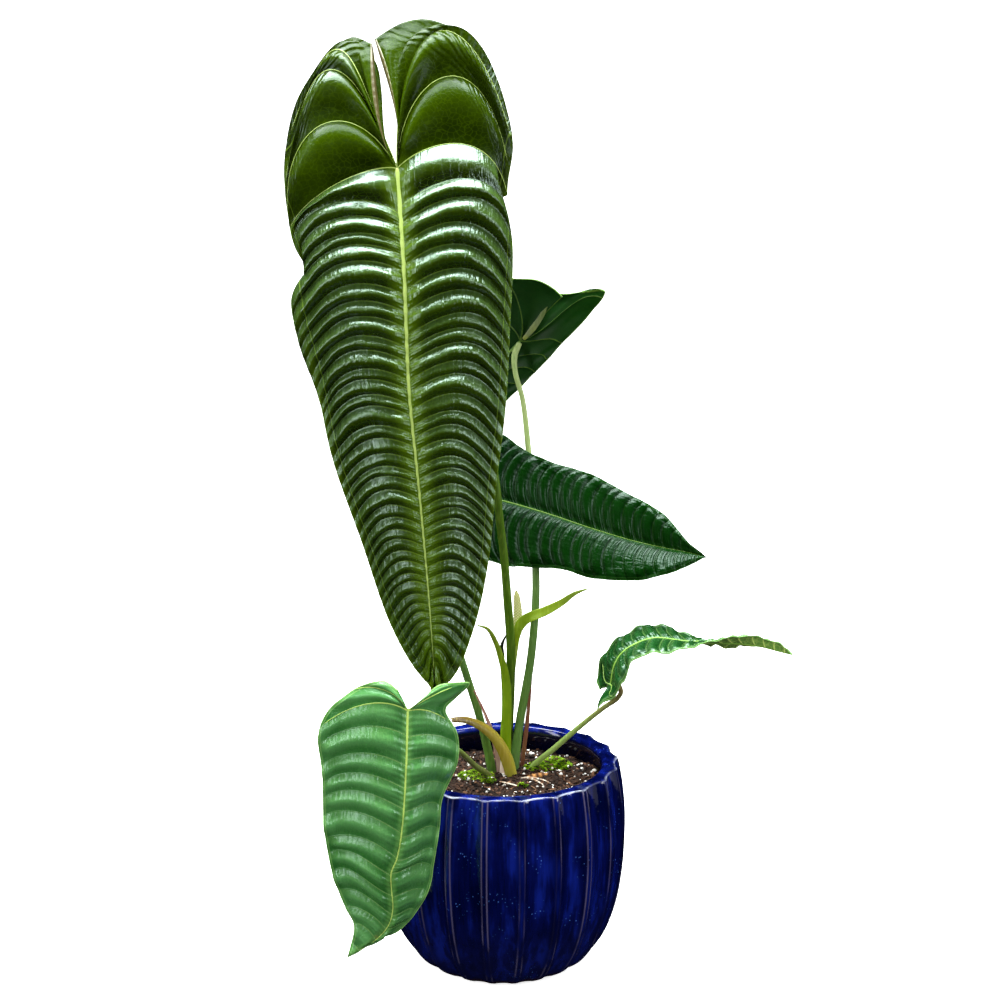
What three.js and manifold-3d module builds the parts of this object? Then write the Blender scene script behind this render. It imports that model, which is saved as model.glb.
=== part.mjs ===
// Potted king anthurium: five pleated leaves on long stalks, sheath leaves, one
// young inflorescence and a short rhizome in a glazed, fluted pot of potting mix.
// Millimetres, +Z up. The origin is the centre of the pot's foot, on the floor.
import * as THREE from 'three';
import { mergeVertices } from 'three/addons/utils/BufferGeometryUtils.js';
import Module from 'manifold-3d';

const wasm = await Module();
wasm.setup();

// Clearance between two pieces that touch
const GAP = 0.35;

// Pot
const POT_HEIGHT = 257;
const FLUTES = 21;
const FLUTE_DEPTH = 5.5;
const RIB_WIDTH = 7;
const MOUTH_RADIUS = 119;
const POT_FLOOR = 16;
const HOLLOW_SIDES = 32;
const DRAIN_RADIUS = 8;
const DRAIN_CIRCLE = 38;
const DRAINS = 3;
// Height, radius on the ribs and share of the flute's depth, from the foot to the rim
const POT_WALL = [
  [0, 82, 0.3], [4, 91, 0.5], [14, 106, 0.8], [30, 119, 1], [48, 129, 1], [78, 139.5, 1],
  [110, 146, 1], [150, 150, 1], [190, 150, 1], [225, 146.5, 1], [250, 142, 0.85], [255, 140.5, 0.8],
];
// Radius and height of the hollow, from its floor to the mouth
const HOLLOW = [
  [72, POT_FLOOR], [100, 36], [120, 74], [131, 120], [134, 165], [131, 205], [124, 236],
  [MOUTH_RADIUS, 250], [MOUTH_RADIUS + 3, POT_HEIGHT + 1],
];

// Soil
const SOIL_TOP = 227;
const STEM_FOOT = 205;
const PERLITE_GRAINS = 12;
const PERLITE_SIZE = 3.2;

// Leaves: thickness of the blade and height of the midrib's keel on the underside
const BLADE = 1.5;
const KEEL = 3;

// Each blade is drawn as it grows. midrib runs from the stalk to the tip, and the margin
// of each half from the innermost point of its basal lobe to the tip. veins gives a few
// laterals: [place, share of the margin where it ends, angle and reach as it leaves the
// midrib, angle and reach as it meets the margin]. Place -1 is the edge of the sinus, 0
// the first lateral of the midrib and 1 the tip. Angles are in degrees from straight
// out, towards the base, and reaches are shares of the straight way across.
const GIANT = {
  name: 'giant', colour: 0x3f6a1e, upper: [0, -1, 0.04], laterals: 34, ease: 0.3, lean: 0.35,
  pleat: 7, lobePleat: 13, camber: 0.05, profile: 'shingle', phases: [0.16, 0.88], fan: 8,
  columns: [0, 0.07, 0.22, 0.46, 0.72, 0.92, 1],
  midrib: [[-119, -45, 975], [-111, -78, 862], [-106, -98, 734], [-95, -106, 615],
    [-85, -105, 488], [-79, -92, 374]],
  halves: [
    {
      margin: [[-149, -28, 1112], [-174, -18, 1119], [-208, -10, 1090], [-236, -13, 1047],
        [-249, -12, 981], [-243, -30, 910], [-233, -43, 869], [-230, -55, 816],
        [-214, -67, 746], [-196, -78, 653], [-163, -86, 554], [-131, -86, 455],
        [-104, -88, 403], [-79, -92, 374]],
      veins: [[-1, 0, 56, 0.22, -99, 0.27], [-0.93, 0.03, 63, 0.34, -106, 0.36],
        [-0.86, 0.09, 65, 0.6, -227, 0.75], [-0.8, 0.15, 67, 0.75, -238, 1.2],
        [-0.75, 0.21, 70, 1, -247, 1.45], [-0.5, 0.27, 72, 1.35, -258, 1.14],
        [-0.25, 0.314, 65, 0.74, -271, 0.85], [0, 0.324, 16, 0.24, -247, 0.28],
        [0.06, 0.345, 47, 0.4, -277, 0.4], [0.14, 0.439, 32, 0.44, -263, 0.49],
        [0.28, 0.536, 31, 0.4, -253, 0.55], [0.45, 0.666, 34, 0.37, -235, 0.52],
        [0.62, 0.79, 37, 0.43, -250, 0.61], [0.78, 0.904, 29, 0.4, -238, 0.49],
        [0.9, 0.979, 13, 0.22, -197, 0.32], [1, 1, 5, 0.2, -180, 0.2]],
      crests: [-1, -0.75, -0.5, -0.25, 0],
    },
    {
      margin: [[-146, -31, 1117], [-131, -27, 1127], [-113, -20, 1136], [-85, -19, 1139],
        [-43, -15, 1120], [-7, -13, 1069], [11, -15, 1003], [5, -18, 948], [11, -39, 883],
        [8, -58, 802], [3, -73, 709], [-8, -82, 618], [-18, -86, 522], [-34, -86, 449],
        [-57, -90, 393], [-79, -92, 374]],
      veins: [[-1, 0, 77, 0.35, -77, 0.36], [-0.93, 0.028, 78, 0.4, -103, 0.32],
        [-0.86, 0.083, 81, 0.7, -150, 0.45], [-0.8, 0.176, 86, 1.2, -258, 0.5],
        [-0.75, 0.28, 88, 1.36, -260, 1.44], [-0.4, 0.314, 85, 0.82, -265, 1.34],
        [0, 0.345, 42, 0.34, -265, 0.66], [0.07, 0.395, 35, 0.5, -268, 0.59],
        [0.13, 0.458, 39, 0.52, -258, 0.5], [0.25, 0.535, 33, 0.52, -249, 0.53],
        [0.45, 0.698, 28, 0.48, -243, 0.55], [0.62, 0.802, 31, 0.48, -242, 0.61],
        [0.78, 0.901, 24, 0.38, -241, 0.52], [0.9, 0.983, 20, 0.38, -225, 0.2],
        [1, 1, 17, 0.3, -208, 0.2]],
      crests: [-1, -0.75, -0.4, 0],
    },
  ],
};
const UPPER = {
  name: 'upper', colour: 0x1f4a1c, upper: [0.25, 0.8, 0.5], laterals: 8, ease: 0.3, lean: 0,
  pleat: 2.5, lobePleat: 2.5, camber: 0.04, profile: 'quilt', phases: [0, 0.33, 0.67], fan: 4,
  columns: [0, 0.08, 0.4, 0.75, 1],
  midrib: [[21, 120, 753], [-4, 138, 723], [-35, 160, 678], [-80, 190, 599]],
  halves: [
    {
      margin: [[71, 78, 813], [44, 84, 831], [9, 92, 832], [-28, 108, 820], [-62, 130, 783],
        [-83, 155, 723], [-91, 178, 662], [-80, 190, 599]],
      veins: [[-1, 0, 90, 0.3, -90, 0.3], [-0.5, 0.2, 70, 0.35, -150, 0.3],
        [0, 0.42, 40, 0.33, -220, 0.35], [1, 1, 30, 0.33, -220, 0.35]],
      crests: [-1, -0.5, 0],
    },
    {
      margin: [[72, 90, 808], [98, 74, 819], [121, 62, 822], [104, 82, 791], [75, 102, 756],
        [45, 122, 719], [9, 150, 677], [-35, 175, 630], [-80, 190, 599]],
      veins: [[-1, 0, 90, 0.3, -90, 0.3], [-0.5, 0.2, 60, 0.35, -150, 0.3],
        [0, 0.42, 25, 0.33, -200, 0.35], [1, 1, 30, 0.33, -220, 0.35]],
      crests: [-1, -0.5, 0],
    },
  ],
};
const MIDDLE = {
  name: 'middle', colour: 0x14401c, upper: [-0.1, -0.8, 0.6], laterals: 13, ease: 0.2, lean: 0,
  pleat: 3, lobePleat: 3, camber: 0.07, profile: 'quilt', phases: [0, 0.5], fan: 4,
  columns: [0, 0.08, 0.4, 0.75, 1],
  midrib: [[-52, 64, 576], [-4, 66, 566], [51, 62, 551], [103, 54, 535], [156, 44, 521],
    [194, 32, 515], [224, 20, 512], [243, 10, 509]],
  halves: [
    {
      margin: [[-86, 72, 592], [-70, 90, 625], [-34, 98, 644], [0, 98, 640], [19, 94, 627],
        [59, 88, 608], [94, 84, 599], [126, 78, 586], [162, 64, 568.5],
        [183, 56, 559.5], [197, 46, 550.5], [209, 36, 538], [222, 24, 525], [243, 10, 509]],
      veins: [[-1, 0, 90, 0.3, -90, 0.3], [-0.5, 0.12, 80, 0.4, -180, 0.4],
        [0, 0.24, 45, 0.35, -230, 0.4], [1, 1, 30, 0.33, -225, 0.4]],
      crests: [-1, -0.5, 0],
    },
    {
      margin: [[-89, 66, 573], [-86, 44, 534], [-52, 38, 503], [-15, 38, 497], [6, 36, 491],
        [37, 34, 490], [69, 30, 489], [97, 24, 482], [128, 16, 479], [170, 6, 483],
        [200, 2, 492], [243, 10, 509]],
      veins: [[-1, 0, 90, 0.3, -90, 0.3], [-0.5, 0.12, 80, 0.4, -180, 0.4],
        [0, 0.24, 45, 0.35, -230, 0.4], [1, 1, 30, 0.33, -225, 0.4]],
      crests: [-1, -0.5, 0],
    },
  ],
};
const FRONT = {
  name: 'front', colour: 0x4f8f5a, upper: [0, -1, 0.1], laterals: 11, ease: 0.2, lean: 0,
  pleat: 3.2, lobePleat: 3, camber: 0.07, profile: 'quilt', phases: [0, 0.33, 0.67], fan: 4,
  columns: [0, 0.08, 0.4, 0.75, 1],
  midrib: [[-108, -168, 377], [-110, -180, 311], [-116, -188, 242], [-126, -186, 180],
    [-136, -178, 137], [-159, -166, 96], [-182, -158, 70]],
  halves: [
    {
      margin: [[-119, -163, 400], [-132, -158, 409], [-147, -158, 408], [-173, -152, 395],
        [-202, -146, 367], [-212, -146, 340], [-208, -148, 291], [-207, -150, 225],
        [-195, -152, 160], [-184, -154, 132], [-174, -156, 110], [-182, -158, 70]],
      veins: [[-1, 0, 75, 0.3, -120, 0.3], [-0.5, 0.14, 65, 0.4, -200, 0.4],
        [0, 0.3, 35, 0.35, -225, 0.35], [1, 1, 25, 0.33, -220, 0.35]],
      crests: [-1, -0.5, 0],
    },
    {
      margin: [[-92, -164, 390], [-73, -158, 404], [-49, -152, 406], [-38, -150, 404],
        [-53, -150, 386], [-65, -152, 374], [-52, -152, 343], [-52, -152, 310],
        [-70, -152, 264], [-73, -152, 231], [-80, -152, 185], [-84, -152, 160],
        [-94, -152, 136], [-116, -154, 107], [-152, -156, 88], [-182, -158, 70]],
      veins: [[-1, 0, 55, 0.3, -120, 0.3], [-0.5, 0.13, 40, 0.35, -170, 0.3],
        [0, 0.27, 20, 0.35, -225, 0.35], [1, 1, 25, 0.33, -220, 0.35]],
      crests: [-1, -0.5, 0],
    },
  ],
};
const SMALL = {
  name: 'small', colour: 0x4a8a45, upper: [-0.3, -0.5, 0.8], upperTip: [0, 0.35, 0.93],
  laterals: 10, ease: 0.2, lean: 0,
  pleat: 2, lobePleat: 2, camber: 0.02, profile: 'quilt', phases: [0, 0.5], fan: 3,
  columns: [0, 0.1, 0.4, 0.75, 1],
  midrib: [[128, -30, 363], [132, -30, 386], [141, -30, 402], [158, -30, 414], [180, -30, 421],
    [218, -30, 417], [251, -32, 417], [293, -36, 416], [343, -40, 404]],
  halves: [
    {
      margin: [[116, -14, 350], [113, 0, 358], [118, 6, 383], [129, 8, 399], [150, 8, 416],
        [179, 8, 426], [213, 4, 419], [247, -8, 406], [274, -20, 407], [310, -30, 412],
        [343, -40, 404]],
      veins: [[-1, 0, 120, 0.3, -60, 0.3], [0, 0.14, 20, 0.33, -200, 0.33],
        [1, 1, 20, 0.33, -200, 0.33]],
      crests: [-1, 0],
    },
    {
      margin: [[120, -40, 350], [111, -56, 341], [121, -62, 352], [133, -66, 363],
        [143, -70, 384], [153, -70, 406], [167, -70, 413], [195, -68, 415], [231, -58, 421],
        [255, -50, 425], [293, -46, 428], [327, -42, 417], [343, -40, 404]],
      veins: [[-1, 0, 120, 0.3, -60, 0.3], [0, 0.16, 20, 0.33, -200, 0.33],
        [1, 1, 20, 0.33, -200, 0.33]],
      crests: [-1, 0],
    },
  ],
};

// Stalks and sheaths: route from the foot in the soil to the top, half width and half
// depth along the way as [share of the length, width, depth], and the way the face looks.
const STALKS = [
  {
    name: 'petiole_giant', colour: 0x4c7a16, face: [0, -1, 0], steps: 18, top: GIANT,
    route: [[3, 56, STEM_FOOT], [4, 55, 240], [7, 48, 289], [9.5, 34, 384], [5.5, 24, 450],
      [0.5, 14, 515], [-4, 8, 554], [-8, 2, 596], [-26, -2, 700], [-68, -8, 830],
      [-104, -18, 925], [-118, -32, 966], [-119, -42, 974]],
    size: [[0, 6.5, 6.5], [0.12, 6, 6], [0.4, 4.8, 4.8], [1, 4.2, 4.2]],
  },
  {
    name: 'petiole_upper', colour: 0x8fbf70, face: [0, -1, 0], steps: 14, top: UPPER,
    route: [[13, 44, STEM_FOOT], [14, 44, 236], [21, 47, 290], [34, 50, 368], [40, 54, 444],
      [40, 62, 483], [39, 78, 527], [34, 96, 586], [31, 106, 621], [27, 112, 681],
      [18, 113, 715], [16, 115, 735], [20, 119, 750]],
    size: [[0, 6.5, 6.5], [0.15, 5.5, 5.5], [0.5, 4.6, 4.6], [1, 3.6, 3.6]],
  },
  {
    name: 'petiole_middle', colour: 0x4f7f2a, face: [0, -1, 0], steps: 14, top: MIDDLE,
    route: [[-12, 44, STEM_FOOT], [-14, 41, 228], [-28, 32, 297], [-46, 24, 361],
      [-62, 22, 415], [-75, 30, 464], [-80, 44, 506], [-76, 59, 540], [-66, 69, 562],
      [-54, 68, 573]],
    size: [[0, 6, 6], [0.2, 5, 5], [1, 3.8, 3.8]],
  },
  {
    name: 'petiole_front', colour: 0x7a7a3a, face: [0, 0, 1], steps: 12, top: FRONT,
    route: [[-16, 20, STEM_FOOT], [-17, 16, 227], [-34, -20, 256], [-51, -80, 296],
      [-73, -120, 327], [-93, -148, 355], [-104, -160, 370], [-108, -166, 376]],
    size: [[0, 4.5, 4.5], [0.2, 3.6, 3.6], [1, 3, 3]],
  },
  {
    name: 'petiole_small', colour: 0x8fb060, face: [0, 0, 1], steps: 14, top: SMALL,
    route: [[30, 46, STEM_FOOT], [34, 43, 227], [65, 32, 261], [100, 10, 301],
      [123, -8, 327], [136, -18, 340], [141, -25, 351], [138, -29, 360], [129, -30, 364]],
    size: [[0, 4.5, 4.5], [0.2, 3.6, 3.6], [0.85, 3, 3], [1, 3, 3]],
  },
  {
    name: 'green_cataphyll', colour: 0x84a824, face: [-0.3, -1, 0], steps: 14,
    route: [[3, 36, STEM_FOOT + 8], [3, 35, 240], [3, 34, 276], [4, 32, 305], [4, 30, 336],
      [2, 28, 359], [-2, 27, 375], [-9, 27, 397], [-19, 28, 414], [-31, 30, 418]],
    size: [[0, 7, 1.8], [0.25, 7, 2], [0.55, 6, 1.9], [0.7, 4.6, 1.8], [0.9, 3, 1.2], [1, 0.9, 0.7]],
  },
  {
    name: 'yellow_cataphyll', colour: 0xb0a044, face: [0.2, -0.6, 0.8], steps: 12,
    route: [[11, 24, STEM_FOOT + 8], [11, 22, 227], [6, 18, 250], [-4, 13, 273],
      [-14, 7, 288], [-28, 0, 301], [-45, -9, 311], [-62, -18, 314]],
    size: [[0, 7, 2.2], [0.25, 9.5, 2.4], [0.6, 8, 2], [0.85, 5.5, 1.4], [1, 3.5, 1]],
  },
  {
    name: 'dry_cataphyll_right', colour: 0x7a4a38, face: [0.5, -1, 0], steps: 8,
    route: [[22, 57, STEM_FOOT + 10], [25, 58, 240], [30, 58, 287], [33, 58, 320], [36, 58, 356]],
    size: [[0, 2.6, 0.8], [0.5, 3.2, 0.7], [1, 0.9, 0.5]],
  },
  {
    name: 'dry_cataphyll_left', colour: 0xb08a86, face: [0.3, -1, 0], steps: 8,
    route: [[-5, 33, STEM_FOOT + 10], [-6, 31, 240], [-14, 24, 284], [-22, 20, 308], [-35, 14, 340]],
    size: [[0, 2.6, 0.8], [0.5, 3, 0.7], [1, 0.8, 0.5]],
  },
  {
    name: 'withered_sheath', colour: 0x1c1f0c, face: [-0.4, -1, 0], steps: 10,
    route: [[-6.5, 61, STEM_FOOT + 8], [-5, 61, 240], [0.5, 61, 289], [0.5, 60, 340],
      [-1, 60, 368], [-1, 60, 384], [4, 60, 397]],
    size: [[0, 2.4, 0.9], [0.6, 2.6, 0.9], [0.85, 3.8, 0.8], [1, 0.8, 0.5]],
  },
];

// Inflorescence
const FLOWER = {
  stalk: {
    name: 'flower_stalk', colour: 0xa8c83c, face: [0, -1, 0], steps: 12,
    route: [[6, 68, STEM_FOOT], [6, 67, 227], [8, 62, 286], [12, 57, 350], [17, 52, 394]],
    size: [[0, 4.2, 4.2], [0.3, 3.4, 3.4], [1, 3.2, 3.2]],
  },
  bract: {
    name: 'bract', colour: 0xa8c83c, face: [0.1, -1, 0.35], steps: 14,
    route: [[16, 52, 385], [17, 46, 399], [19, 41, 411], [24, 39, 420], [31, 36, 426],
      [49, 27, 436], [69, 16, 450], [86, 6, 465], [100, -2, 473]],
    size: [[0, 2.6, 2.2], [0.1, 4, 1.8], [0.25, 6.4, 1.7], [0.55, 5.6, 1.8], [0.8, 3.4, 1.5],
      [1, 0.9, 0.8]],
  },
  spadix: {
    name: 'spadix', colour: 0xe0dc9c, face: [0, -1, 0], steps: 10,
    route: [[17, 52, 394], [18, 50.5, 412], [18, 49, 430], [17, 47, 446], [16, 46, 457]],
    size: [[0, 3, 3], [0.15, 5.1, 5.1], [0.6, 4.9, 4.9], [0.9, 3.5, 3.5], [1, 1.2, 1.2]],
  },
};

// Rhizome: centre, half sizes and top of the buried stem, and the old end on the surface
const RHIZOME = { centre: [9, 46], half: [42, 34], bottom: 150 };
const OLD_END = {
  name: 'old_end', colour: 0x8a5a34, face: [0, 0, 1], steps: 10,
  route: [[22, 28, STEM_FOOT - 8], [25, 22, 214], [33, 18, 224], [44, 18, 228.5], [56, 21, 227]],
  size: [[0, 7, 7], [0.5, 5, 5], [1, 3.5, 3.5]],
};

const toVector = (p) => new THREE.Vector3(...p);
const smooth = (x) => THREE.MathUtils.smoothstep(x, 0, 1);

// A curve through hand-set points, read by its share of length
function routeOf(points) {
  const curve = new THREE.CatmullRomCurve3(points.map(toVector), false, 'centripetal');
  curve.arcLengthDivisions = 400;
  return curve;
}

// Straight interpolation in rows of numbers, the first of each being the place
function between(rows, place) {
  const last = rows.length - 1;
  if (place >= rows[last][0]) return rows[last].slice(1);
  let i = 0;
  while (place > rows[i + 1][0]) i += 1;
  const share = Math.max(0, (place - rows[i][0]) / (rows[i + 1][0] - rows[i][0]));
  return rows[i].slice(1).map((value, k) => value + (rows[i + 1][k + 1] - value) * share);
}

// A repeatable draw from 0 to 1 for a numbered thing
function draw(number, seed) {
  const x = Math.sin(number * 127.1 + seed * 311.7) * 43758.5453;
  return x - Math.floor(x);
}

function meshData(vertices, triangles) {
  const geometry = new THREE.BufferGeometry();
  geometry.setAttribute('position', new THREE.Float32BufferAttribute(vertices, 3));
  geometry.setIndex(triangles);
  return geometry;
}

function toSolid(geometry) {
  const bare = geometry.clone();
  bare.deleteAttribute('normal');
  bare.deleteAttribute('uv');
  const merged = mergeVertices(bare, 1e-4);
  return new wasm.Manifold(new wasm.Mesh({
    numProp: 3,
    vertProperties: Float32Array.from(merged.attributes.position.array),
    triVerts: Uint32Array.from(merged.index.array),
  }));
}

function toGeometry(solid) {
  const mesh = solid.getMesh();
  return meshData(Array.from(mesh.vertProperties), Array.from(mesh.triVerts));
}

// The largest body of a cut piece
function largest(solid) {
  const bodies = solid.decompose();
  bodies.sort((a, b) => b.volume() - a.volume());
  return bodies[0];
}

// Rings of points, the first and last closed by a fan, outward faces
function closeRings(rings) {
  const vertices = [];
  const triangles = [];
  const count = rings[0].length;
  rings.forEach((ring) => ring.forEach((p) => vertices.push(p.x, p.y, p.z)));
  const ends = [rings[0], rings[rings.length - 1]].map((ring) => {
    const middle = ring.reduce((sum, p) => sum.add(p), new THREE.Vector3()).divideScalar(count);
    vertices.push(middle.x, middle.y, middle.z);
    return vertices.length / 3 - 1;
  });
  for (let row = 0; row < rings.length - 1; row += 1) {
    for (let i = 0; i < count; i += 1) {
      const a = row * count + i;
      const b = row * count + (i + 1) % count;
      triangles.push(a, b, b + count, a, b + count, a + count);
    }
  }
  const lastRow = (rings.length - 1) * count;
  for (let i = 0; i < count; i += 1) {
    const next = (i + 1) % count;
    triangles.push(ends[0], next, i, ends[1], lastRow + i, lastRow + next);
  }
  return meshData(vertices, triangles);
}

// A stalk or sheath: an oval section carried along its route
function stalkGeometry(stalk, grow = 0, sides = 8) {
  const route = routeOf(stalk.route);
  const face = toVector(stalk.face).normalize();
  const rings = [];
  for (let step = 0; step <= stalk.steps; step += 1) {
    const share = step / stalk.steps;
    const centre = route.getPointAt(share);
    const along = route.getTangentAt(share);
    const across = new THREE.Vector3().crossVectors(face, along).normalize();
    const out = new THREE.Vector3().crossVectors(along, across);
    const [width, depth] = between(stalk.size, share);
    const ring = [];
    for (let i = 0; i < sides; i += 1) {
      const angle = 2 * Math.PI * i / sides;
      ring.push(centre.clone()
        .addScaledVector(across, Math.cos(angle) * (width + grow))
        .addScaledVector(out, Math.sin(angle) * (depth + grow)));
    }
    rings.push(ring);
  }
  if (grow > 0) {
    const foot = route.getTangentAt(0).multiplyScalar(-grow);
    const tip = route.getTangentAt(1).multiplyScalar(grow);
    rings[0].forEach((p) => p.add(foot));
    rings[rings.length - 1].forEach((p) => p.add(tip));
  }
  return closeRings(rings);
}

// Relief between two laterals, from the one nearer the base (0) to the next (1)
const RELIEF = {
  shingle: (x) => (x < 0.22 ? 0.62 + 0.38 * smooth(x / 0.22)
    : x < 0.9 ? 1 - smooth((x - 0.22) / 0.68) : 0.62 * (x - 0.9) / 0.1),
  quilt: (x) => Math.sin(Math.PI * x) ** 0.8,
};

// One half of a blade: where the point at a lateral's place and a share across lies
class Half {
  constructor(leaf, index) {
    this.leaf = leaf;
    this.index = index;
    this.midrib = routeOf(leaf.midrib);
    this.margin = routeOf(leaf.halves[index].margin);
    this.veins = leaf.halves[index].veins;
    this.crests = leaf.halves[index].crests;
    this.base = toVector(leaf.upper).normalize();
    this.tip = toVector(leaf.upperTip ?? leaf.upper).normalize();
  }

  upperAt(place) {
    return this.base.clone().lerp(this.tip, smooth(Math.max(place, 0))).normalize();
  }

  // Laterals stand closer towards the tip
  shareOf(place) {
    const x = Math.max(place, 0);
    return x * (1 + this.leaf.ease) - this.leaf.ease * x * x;
  }

  // Out from the midrib and towards the base, in the plane of the blade
  axesAt(place) {
    const upper = this.upperAt(place);
    const share = this.shareOf(place);
    const toBase = this.midrib.getTangentAt(share).negate();
    toBase.addScaledVector(upper, -toBase.dot(upper)).normalize();
    const out = new THREE.Vector3().crossVectors(upper, toBase);
    const side = this.margin.getPointAt(0.5).sub(this.midrib.getPointAt(0.5));
    return { upper, toBase, out: side.dot(out) < 0 ? out.negate() : out };
  }

  point(place, across, phase, number) {
    const { leaf } = this;
    const [end, angle, reach, endAngle, endReach] = between(this.veins, place);
    const share = this.shareOf(place);
    const start = this.midrib.getPointAt(share);
    const stop = this.margin.getPointAt(end);
    const length = stop.distanceTo(start);
    if (length < 1e-6) return start;
    const { upper, toBase, out } = this.axesAt(place);
    const handle = (from, degrees, part) => from.clone()
      .addScaledVector(out, Math.cos(THREE.MathUtils.degToRad(degrees)) * part * length)
      .addScaledVector(toBase, Math.sin(THREE.MathUtils.degToRad(degrees)) * part * length);
    const vein = new THREE.CubicBezierCurve3(
      start,
      handle(start, angle, reach),
      handle(stop, endAngle, endReach),
      stop,
    );
    const point = vein.getPoint(across);
    const lobe = Math.max(0, point.clone().sub(this.midrib.getPointAt(0)).dot(this.axesAt(0).toBase));
    const bulge = leaf.camber * length * 4 * across * (1 - across);
    const strength = (place < 0 ? leaf.lobePleat : leaf.pleat * (1 - 0.55 * share))
      * (0.75 + 0.5 * draw(number, this.index + 1));
    const ramp = smooth(across / 0.2) * (1 - 0.75 * smooth((across - 0.82) / 0.18));
    const relief = strength * ramp * RELIEF[leaf.profile](phase);
    return point.addScaledVector(upper, bulge + relief - leaf.lean * lobe);
  }
}

// Places of the rows: every lateral's pleat is cut at the same phases
function rowsOf(leaf, half) {
  const rows = [];
  half.crests.slice(0, -1).forEach((from, tile) => {
    const to = half.crests[tile + 1];
    const fan = Array.from({ length: leaf.fan }, (_, i) => i / leaf.fan);
    (tile === 0 ? fan : leaf.phases).forEach((phase) => {
      rows.push({ place: from + (to - from) * phase, phase, number: -tile - 1 });
    });
  });
  for (let lateral = 0; lateral < leaf.laterals; lateral += 1) {
    leaf.phases.forEach((phase) => {
      rows.push({ place: (lateral + phase) / leaf.laterals, phase, number: lateral });
    });
  }
  rows.push({ place: 1, phase: 0, number: leaf.laterals });
  return rows;
}

// A blade: both faces are cut into the same triangles, closed by a narrow rim
function bladeGeometry(leaf, grow = 0) {
  const tops = [];
  const downs = [];
  const triangles = [];
  const named = new Map();
  const addPoint = (key, top, down) => {
    if (!named.has(key)) {
      named.set(key, tops.length);
      tops.push(top);
      downs.push(down);
    }
    return named.get(key);
  };
  [0, 1].forEach((index) => {
    const half = new Half(leaf, index);
    const rows = rowsOf(leaf, half);
    const grid = rows.map((row, r) => leaf.columns.map((u, column) => {
      let key = `${index} ${r} ${column}`;
      if (column === 0) key = row.place <= 0 ? 'stalk' : `midrib ${row.place}`;
      if (row.place === 1) key = 'tip';
      const point = half.point(row.place, u, row.phase, row.number);
      const upper = half.upperAt(row.place);
      const keel = column === 0 && row.place >= 0 ? KEEL * (1 - row.place) : 0;
      const top = point.clone().addScaledVector(upper, grow);
      const down = point.addScaledVector(upper, -BLADE - keel - grow);
      return addPoint(key, top, down);
    }));
    for (let r = 0; r < grid.length - 1; r += 1) {
      for (let c = 0; c < leaf.columns.length - 1; c += 1) {
        const corners = [grid[r][c], grid[r][c + 1], grid[r + 1][c + 1], grid[r + 1][c]];
        [[0, 1, 2], [0, 2, 3]].forEach((pick) => {
          const face = pick.map((k) => corners[k]);
          if (new Set(face).size < 3) return;
          triangles.push(index === 0 ? face.reverse() : face);
        });
      }
    }
  });
  return closeSheet(tops, downs, triangles, grow);
}

// The edges that only one triangle has
function rimEdges(triangles) {
  const edges = new Set();
  triangles.forEach(([a, b, c]) => [[a, b], [b, c], [c, a]].forEach(([p, q]) => edges.add(`${p} ${q}`)));
  return [...edges].map((edge) => edge.split(' ').map(Number))
    .filter(([a, b]) => !edges.has(`${b} ${a}`));
}

// Two like faces of a sheet and the rim between them, the rim moved out by grow
function closeSheet(tops, downs, triangles, grow) {
  const count = tops.length;
  const rim = rimEdges(triangles);
  const index = [];
  triangles.forEach(([a, b, c]) => index.push(a, b, c, c + count, b + count, a + count));
  rim.forEach(([a, b]) => index.push(b, a, a + count, b, a + count, b + count));
  const flat = () => [...tops, ...downs].flatMap((p) => [p.x, p.y, p.z]);
  const turn = Math.sign(signedVolume(flat(), index));
  if (turn < 0) {
    for (let i = 0; i < index.length; i += 3) [index[i], index[i + 1]] = [index[i + 1], index[i]];
  }
  const moves = new Map(rim.flat().map((i) => [i, new THREE.Vector3()]));
  rim.forEach(([a, b]) => {
    const out = tops[b].clone().sub(tops[a]).cross(tops[a].clone().sub(downs[a])).normalize();
    [a, b].forEach((i) => moves.get(i).add(out));
  });
  moves.forEach((out, i) => {
    out.normalize().multiplyScalar(turn * grow);
    tops[i].add(out);
    downs[i].add(out);
  });
  return meshData(flat(), index);
}

function signedVolume(vertices, index) {
  const at = (i) => new THREE.Vector3(...vertices.slice(3 * i, 3 * i + 3));
  let sum = 0;
  for (let i = 0; i < index.length; i += 3) {
    sum += at(index[i]).dot(at(index[i + 1]).cross(at(index[i + 2])));
  }
  return sum / 6;
}

// Pot: a fluted barrel, less its hollow and its drainage holes
function potRing(height, radius, depth) {
  const ring = [];
  const pitch = 2 * Math.PI / FLUTES;
  const ribHalf = RIB_WIDTH / 2 / radius;
  const across = [-1, -0.4, 0.4, 1];
  for (let flute = 0; flute < FLUTES; flute += 1) {
    const middle = flute * pitch - Math.PI / 2;
    across.forEach((x) => {
      const angle = middle + x * (pitch / 2 - ribHalf);
      const r = radius - depth * FLUTE_DEPTH * (1 - x * x);
      ring.push(new THREE.Vector3(r * Math.cos(angle), r * Math.sin(angle), height));
    });
  }
  return ring;
}

function latheSolid(profile, segments) {
  const points = profile.map(([r, z]) => new THREE.Vector2(r, z));
  const lathe = new THREE.LatheGeometry(points, segments);
  return toSolid(lathe.rotateX(Math.PI / 2));
}

function closedProfile(rows) {
  return [[0, rows[0][1]], ...rows, [0, rows[rows.length - 1][1]]];
}

function drainSolids() {
  return Array.from({ length: DRAINS }, (_, i) => {
    const angle = (2 * i + 1) * Math.PI / DRAINS;
    const hole = new THREE.CylinderGeometry(DRAIN_RADIUS, DRAIN_RADIUS, 4 * POT_FLOOR, 20);
    hole.rotateX(Math.PI / 2);
    hole.translate(DRAIN_CIRCLE * Math.cos(angle), DRAIN_CIRCLE * Math.sin(angle), 0);
    return toSolid(hole);
  });
}

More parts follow.
